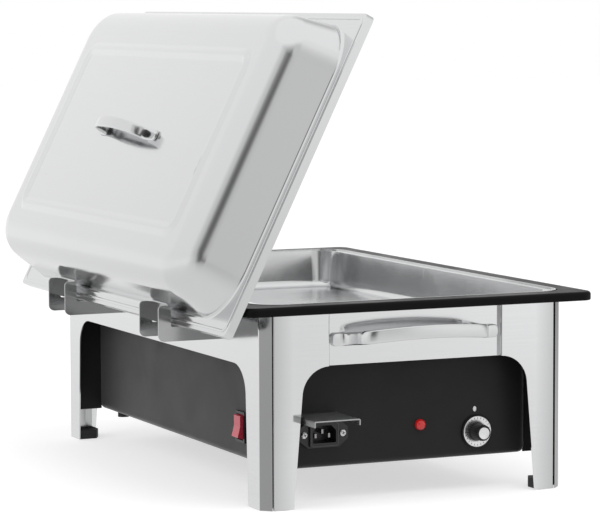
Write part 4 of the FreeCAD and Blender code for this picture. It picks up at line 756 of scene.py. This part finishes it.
class FOODWARMER_OT_lid(PieceOperator, bpy.types.Operator):
    """Polish the lid, its handle and the brackets it leans in"""

    bl_idname = PREFIX + "lid"
    bl_label = "Lid and holders"

    def execute(self, context):
        colour = self.finish.lid
        # Painted reflection: the lid's tone darkens slowly one way across it, in place of the graded studio
        # it mirrors
        lid_metal = steel("lid_steel", colour, rough=(0.1, 0.18), along=ALONG_Y, marks=6.0, drift=LID_REFLECTION_FADE)
        paint(["lid_shell"], lid_metal)
        self.lid_pull(steel("pull_steel", tone(colour, 0.88), rough=(0.08, 0.14), along=ALONG_Y))
        # Painted reflection: the holders' steel is darkened to stand for the shaded lid underside and sides
        # they mirror
        paint(["front_lid_holder", "rear_lid_holder"],
              steel("holder_steel", tone(colour, 0.58), rough=(0.1, 0.2), along=BRACKET))
        paint(["handle_screws", "housing_screws"],
              steel("screw_steel", SCREW, rough=(0.18, 0.3), along=EVEN))
        middle, _, high = box_of("holder_screws")
        places = [(high.x, side * y, middle.z)
                  for side in (-1, 1) for y in (HOLDER_Y - FIXING, HOLDER_Y + FIXING)]
        add_screws("holder_screw_heads", places, Matrix.Rotation(-math.pi / 2, 4, "Y"), "base",
                   steel("holder_screw_steel", SCREW, rough=(0.18, 0.3), along=EVEN), "holder_screws")
        self.raised_lines(lid_metal)
        return {"FINISHED"}

    def raised_lines(self, metal):
        """The lines pressed up out of the lid: one on top of its dome, and one round its flange."""
        _, _, high = box_of("lid_shell")
        top = Vector((high.x - LID_SKIRT * MM * math.sin(LID_LEAN), 0, high.z))
        centre = top - LID_UP * (LID_HALF * MM)
        foot, half_foot = RIDGE_FOOT
        hump = []
        for x in range(-RIDGE_STEPS, RIDGE_STEPS + 1):
            swell = (0.5 + 0.5 * math.cos(math.pi * x / RIDGE_STEPS)) ** 0.7
            hump.append((RIDGE_HIGH * swell * MM, x * RIDGE_STEP * MM))
        hump += [(foot * MM, half_foot * MM), (foot * MM, -half_foot * MM)]
        loop = on_lid(centre + LID_OUT * DOME_HIGH * MM, rounded_loop(*RIDGE_HALF, RIDGE_ROUND, steps=12))
        add_piece("dome_ridge", sweep(loop, hump, LID_OUT, closed=True), metal, "lid", sharp=60)
        loop = on_lid(centre, rounded_loop(LID_HALF - BEAD_INSET, high.y / MM - BEAD_INSET, BEAD_ROUND))
        bead = sweep(loop, rounded_section(0.9 * MM, 1.5 * MM, power=2.0, count=16), LID_OUT, closed=True)
        add_piece("flange_bead", bead, metal, "lid", sharp=80)

    def lid_pull(self, metal):
        """The lid's handle: one smooth arch whose flat ends reach past its two feet."""
        foot = box_of("handle_spacers")[0] - LID_OUT * PULL_DEEP
        line = [Vector((0, -y * MM, rise * MM)) for y, rise in PULL_LINE]
        line += [Vector((0, y * MM, rise * MM)) for y, rise in reversed(PULL_LINE)]
        arch = [foot + Vector((0, point.y, 0)) + LID_OUT * point.z for point in smoothed(line)]
        strap = sweep(arch, rounded_section(PULL_WIDE * MM, PULL_THICK * MM, power=2.8), LID_UP,
                      end_round=5 * MM)
        handle = add_piece("lid_pull", strap, metal, "lid")
        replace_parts(handle, "lid_handle")
        posts = bmesh.new()
        for side in (-1, 1):
            placing = Matrix.Translation(foot + Vector((0, side * FOOT_Y, 0)))
            placing = placing @ Matrix.Rotation(-LID_LEAN, 4, "Y")
            merge(posts, turned(FOOT_PROFILE, steps=SMALL_STEPS), placing)
        shade = coating("spacer_black", SPACER_BLACK, rough=(0.3, 0.45), fineness=900.0, depth=0.000005)
        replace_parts(add_piece("handle_posts", posts, shade, "lid"), "handle_spacers")


class FOODWARMER_OT_controls(PieceOperator, bpy.types.Operator):
    """Finish the inlet and its hood, the lamp, the thermostat's knob and the rocker switch"""

    bl_idname = PREFIX + "controls"
    bl_label = "Controls"

    def execute(self, context):
        finish = self.finish
        paint(["mains_inlet", "switch_case", "thermostat_body", "lamp_body"],
              coating("moulded_black", MOULDED, rough=(0.3, 0.42), fineness=1500.0, depth=0.000006))
        self.inlet(coating("moulded_edge_painted_highlight", MOULDED_EDGE_HIGHLIGHT, rough=(0.3, 0.4), fineness=1500.0, depth=0.000004),
                   steel("inlet_screw_steel", INLET_SCREW, rough=(0.2, 0.3), along=EVEN))
        self.pointer(coating("printed_white", PRINTED_WHITE, rough=(0.35, 0.5), fineness=900.0,
                             depth=0.000002))
        self.knob(coating("knob_black", KNOB_BLACK, rough=(0.3, 0.4), fineness=1500.0, depth=0.000004,
                          specular=0.3))
        paint(["inlet_pins", "thermostat_shaft", "rocker_pin"],
              steel("nickel", NICKEL, rough=(0.24, 0.36), along=EVEN))
        paint(["inlet_hood"], steel("hood_steel", tone(finish.sheet, 0.6), rough=(0.42, 0.55), along=ALONG_X))
        paint(["lamp_lens"], lens_red("lamp_red", finish.lamp))
        paint(["rocker"], coating("rocker_red", finish.rocker, rough=(0.12, 0.2), fineness=900.0,
                                  depth=0.000002, coat=0.3))
        return {"FINISHED"}

    def inlet(self, moulded, metal):
        """The inlet's raised edge, lighter than its black moulding as a painted highlight, and its screws."""
        middle, low, _ = box_of("mains_inlet")
        loop = [Vector((middle.x + x * MM, low.y + INLET_SUNK * MM, middle.z + z * MM))
                for x, z in rounded_loop(*INLET_EDGE)]
        edge = sweep(loop, rounded_section(0.5 * MM, 0.6 * MM), Vector((0, 1, 0)), closed=True)
        add_piece("inlet_edge", edge, moulded, "base")
        middle, low, high = box_of("inlet_screws")
        places = [(x, low.y + HEAD_HIGH * MM, middle.z)
                  for x in (low.x + HEAD_INSET * MM, high.x - HEAD_INSET * MM)]
        add_screws("inlet_screw_heads", places, out_of_panel(0, 0, 0), "base", metal, "inlet_screws")

    def pointer(self, white):
        """The small oval mark printed over the knob."""
        mark = turned(POINTER_PROFILE, steps=SMALL_STEPS)
        bmesh.ops.scale(mark, vec=(1.0, POINTER_HIGH, 1.0), verts=mark.verts)
        add_piece("pointer_mark", mark, white, "base", out_of_panel(*POINTER))

    def knob(self, black):
        """The thermostat's knob: black skirt, bright disc with fine ticks, ribbed body and bright cap."""
        bright = steel("turned_aluminium", ALUMINIUM, rough=(0.2, 0.3), along=EVEN)
        middle, _, high = box_of("thermostat_knob")
        place = out_of_panel(middle.x, high.y, middle.z)
        body = turned(KNOB_PROFILE, steps=144, ribbed=KNOB_RIBBED, ribs=KNOB_RIBS, depth=RIB_DEPTH)
        knob = add_piece("knob_body", body, black, "knob", place)
        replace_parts(knob, "thermostat_knob")
        disc = turned(DISC_PROFILE)
        ends = [face for face in disc.faces if len(face.verts) > 4]
        bmesh.ops.delete(disc, geom=ends, context="FACES_ONLY")
        plate = add_piece("knob_disc", disc, bright, "knob", place)
        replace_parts(plate, "dial_disc")
        button = add_piece("knob_button", turned(CAP_PROFILE), bright, "knob", place)
        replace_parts(button, "knob_cap")
        ticks = bmesh.new()
        for index in range(TICKS):
            one = bmesh.new()
            bar(one, TICK_MIDDLE, TICK_REACH)
            merge(ticks, one, Matrix.Rotation(2 * math.pi * index / TICKS, 4, "Z"))
        add_piece("knob_ticks", ticks, black, "knob", place)


class FOODWARMER_OT_heater(PieceOperator, bpy.types.Operator):
    """Finish what lies inside the housing"""

    bl_idname = PREFIX + "heater"
    bl_label = "Heater and wiring"

    def execute(self, context):
        paint(["heating_element"], steel("heated_tube", HEATED, rough=(0.45, 0.6), along=EVEN))
        paint(["element_straps", "heat_shield"],
              steel("shield_metal", SHIELD, rough=(0.25, 0.4), along=LOOSE_X))
        paint(["sensor_bulb", "sensor_tube"], steel("copper", COPPER, rough=(0.2, 0.34), along=EVEN))
        paint(["element_terminals", "overheat_cutout", "terminal_block"],
              coating("wiring_white", WHITE_CERAMIC, rough=(0.4, 0.55), fineness=1200.0, depth=0.00001))
        return {"FINISHED"}


class FOODWARMER_OT_stage(bpy.types.Operator):
    """Set up the floor, the light and the camera"""

    bl_idname = PREFIX + "stage"
    bl_label = "Floor, light and camera"

    def execute(self, context):
        settings = context.scene.food_warmer_stage
        make_floor()
        light_world(settings.fill)
        add_lamp("key_lamp", place=(0.2, -0.9, 2.2), aim=(0, 0, 0.15), width=1.8, power=settings.key)
        add_lamp("side_lamp", place=(-2.4, -0.4, 1.2), aim=(0, 0, 0.2), width=1.5, power=settings.key * 0.6)
        add_camera(settings)
        return {"FINISHED"}


def make_floor():
    """A pale floor that shows as the white background and keeps the object's shadow. Where surfaces mirror
    it, it is evenly bright near the object and as bright as the studio behind it further off."""
    mesh = bpy.data.meshes.new("floor")
    reach = FLOOR_REACH
    mesh.from_pydata([(-reach, -reach, 0), (reach, -reach, 0), (reach, reach, 0), (-reach, reach, 0)], [],
                     [(0, 1, 2, 3)])
    floor = bpy.data.objects.new("floor", mesh)
    bpy.context.scene.collection.objects.link(floor)
    material, shading, shader = new_material("floor_white")
    shading.set(shader, Roughness=0.9, Base_Color=FLOOR_GREY)
    seen = shading.node("ShaderNodeLightPath")
    glow = shading.set(shading.node("ShaderNodeEmission"), Color=WHITE)
    glowing = shading.maths("MULTIPLY", seen.outputs["Is Camera Ray"], FLOOR_GLOW)
    shading.link(glowing, glow.inputs["Strength"])
    plain = shading.node("ShaderNodeAddShader")
    shading.link(shader.outputs[0], plain.inputs[0])
    shading.link(glow.outputs[0], plain.inputs[1])
    studio = shading.group(effect(surround_group))
    shading.link(shading.place(), studio.inputs["Direction"])
    distance = shading.vector("LENGTH", shading.place())
    farness = shading.span(distance, start=FLOOR_NEAR, end=FLOOR_FAR)
    mirrored = shading.node("ShaderNodeEmission")
    level = shading.mix(farness, FLOOR_MIRRORED, studio.outputs["Brightness"])
    shading.link(level, mirrored.inputs["Strength"])
    either = shading.node("ShaderNodeMixShader")
    shading.link(seen.outputs["Is Glossy Ray"], either.inputs[0])
    shading.link(plain.outputs[0], either.inputs[1])
    shading.link(mirrored.outputs[0], either.inputs[2])
    output = [node for node in shading.tree.nodes if node.type == "OUTPUT_MATERIAL"][0]
    shading.link(either.outputs[0], output.inputs["Surface"])
    mesh.materials.append(material)


def light_world(fill):
    """A studio surround: white where it is seen, at the fill strength where it lights things, and with its
    dimmer parts where surfaces mirror it."""
    world = bpy.data.worlds.new("surround")
    world.use_nodes = True
    bpy.context.scene.world = world
    shading = Shading(world.node_tree)
    back = shading.set(world.node_tree.nodes["Background"], Color=WHITE)
    studio = shading.group(effect(surround_group))
    shading.link(shading.node("ShaderNodeTexCoord").outputs["Generated"], studio.inputs["Direction"])
    seen = shading.node("ShaderNodeLightPath")
    through = shading.maths("MAXIMUM", seen.outputs["Is Camera Ray"], seen.outputs["Is Transmission Ray"])
    lit = shading.mix(seen.outputs["Is Glossy Ray"], fill, studio.outputs["Brightness"])
    shading.link(shading.mix(through, lit, 1.0), back.inputs["Strength"])


def add_lamp(name, place, aim, width, power):
    """A square soft lamp at the place, turned to its aim, that nothing mirrors."""
    data = bpy.data.lights.new(name, "AREA")
    data.size = width
    data.energy = power
    lamp = bpy.data.objects.new(name, data)
    bpy.context.scene.collection.objects.link(lamp)
    lamp.visible_glossy = False
    lamp.location = place
    lamp.rotation_euler = (Vector(aim) - Vector(place)).to_track_quat("-Z", "Y").to_euler()


def add_camera(settings):
    """The camera, from its place and turns."""
    data = bpy.data.cameras.new("camera")
    data.sensor_width = SENSOR
    data.lens = settings.lens
    camera = bpy.data.objects.new("camera", data)
    bpy.context.scene.collection.objects.link(camera)
    turn = Matrix.Rotation(-settings.azimuth, 4, "Z")
    tilt = Matrix.Rotation(math.pi / 2 - settings.elevation, 4, "X")
    roll = Matrix.Rotation(-settings.roll, 4, "Z")
    camera.matrix_world = Matrix.Translation(Vector(settings.place)) @ turn @ tilt @ roll
    bpy.context.scene.camera = camera


class FOODWARMER_PT_panel(bpy.types.Panel):
    """Lists the finishing steps and their settings"""

    bl_label = "Food Warmer"
    bl_idname = "FOODWARMER_PT_panel"
    bl_space_type = "VIEW_3D"
    bl_region_type = "UI"
    bl_category = "Food Warmer"

    def draw(self, context):
        for settings in (context.scene.food_warmer_finish, context.scene.food_warmer_stage):
            column = self.layout.column()
            for name in settings.__annotations__:
                column.prop(settings, name)
        for step in STEPS:
            self.layout.operator(step.bl_idname)


STEPS = (
    FOODWARMER_OT_frame_sheets,
    FOODWARMER_OT_carry_handles,
    FOODWARMER_OT_well_and_pan,
    FOODWARMER_OT_black_parts,
    FOODWARMER_OT_lid,
    FOODWARMER_OT_controls,
    FOODWARMER_OT_heater,
    FOODWARMER_OT_stage,
)
CLASSES = (FinishSettings, StageSettings) + STEPS + (FOODWARMER_PT_panel,)


def register():
    for item in CLASSES:
        bpy.utils.register_class(item)
    bpy.types.Scene.food_warmer_finish = PointerProperty(type=FinishSettings)
    bpy.types.Scene.food_warmer_stage = PointerProperty(type=StageSettings)


def unregister():
    del bpy.types.Scene.food_warmer_stage
    del bpy.types.Scene.food_warmer_finish
    for item in reversed(CLASSES):
        bpy.utils.unregister_class(item)


def main():
    register()
    bpy.context.scene.view_settings.view_transform = "Standard"
    for step in STEPS:
        name = step.bl_idname.split(".")[1]
        getattr(bpy.ops.food_warmer, name)()


if __name__ == "__main__":
    main()
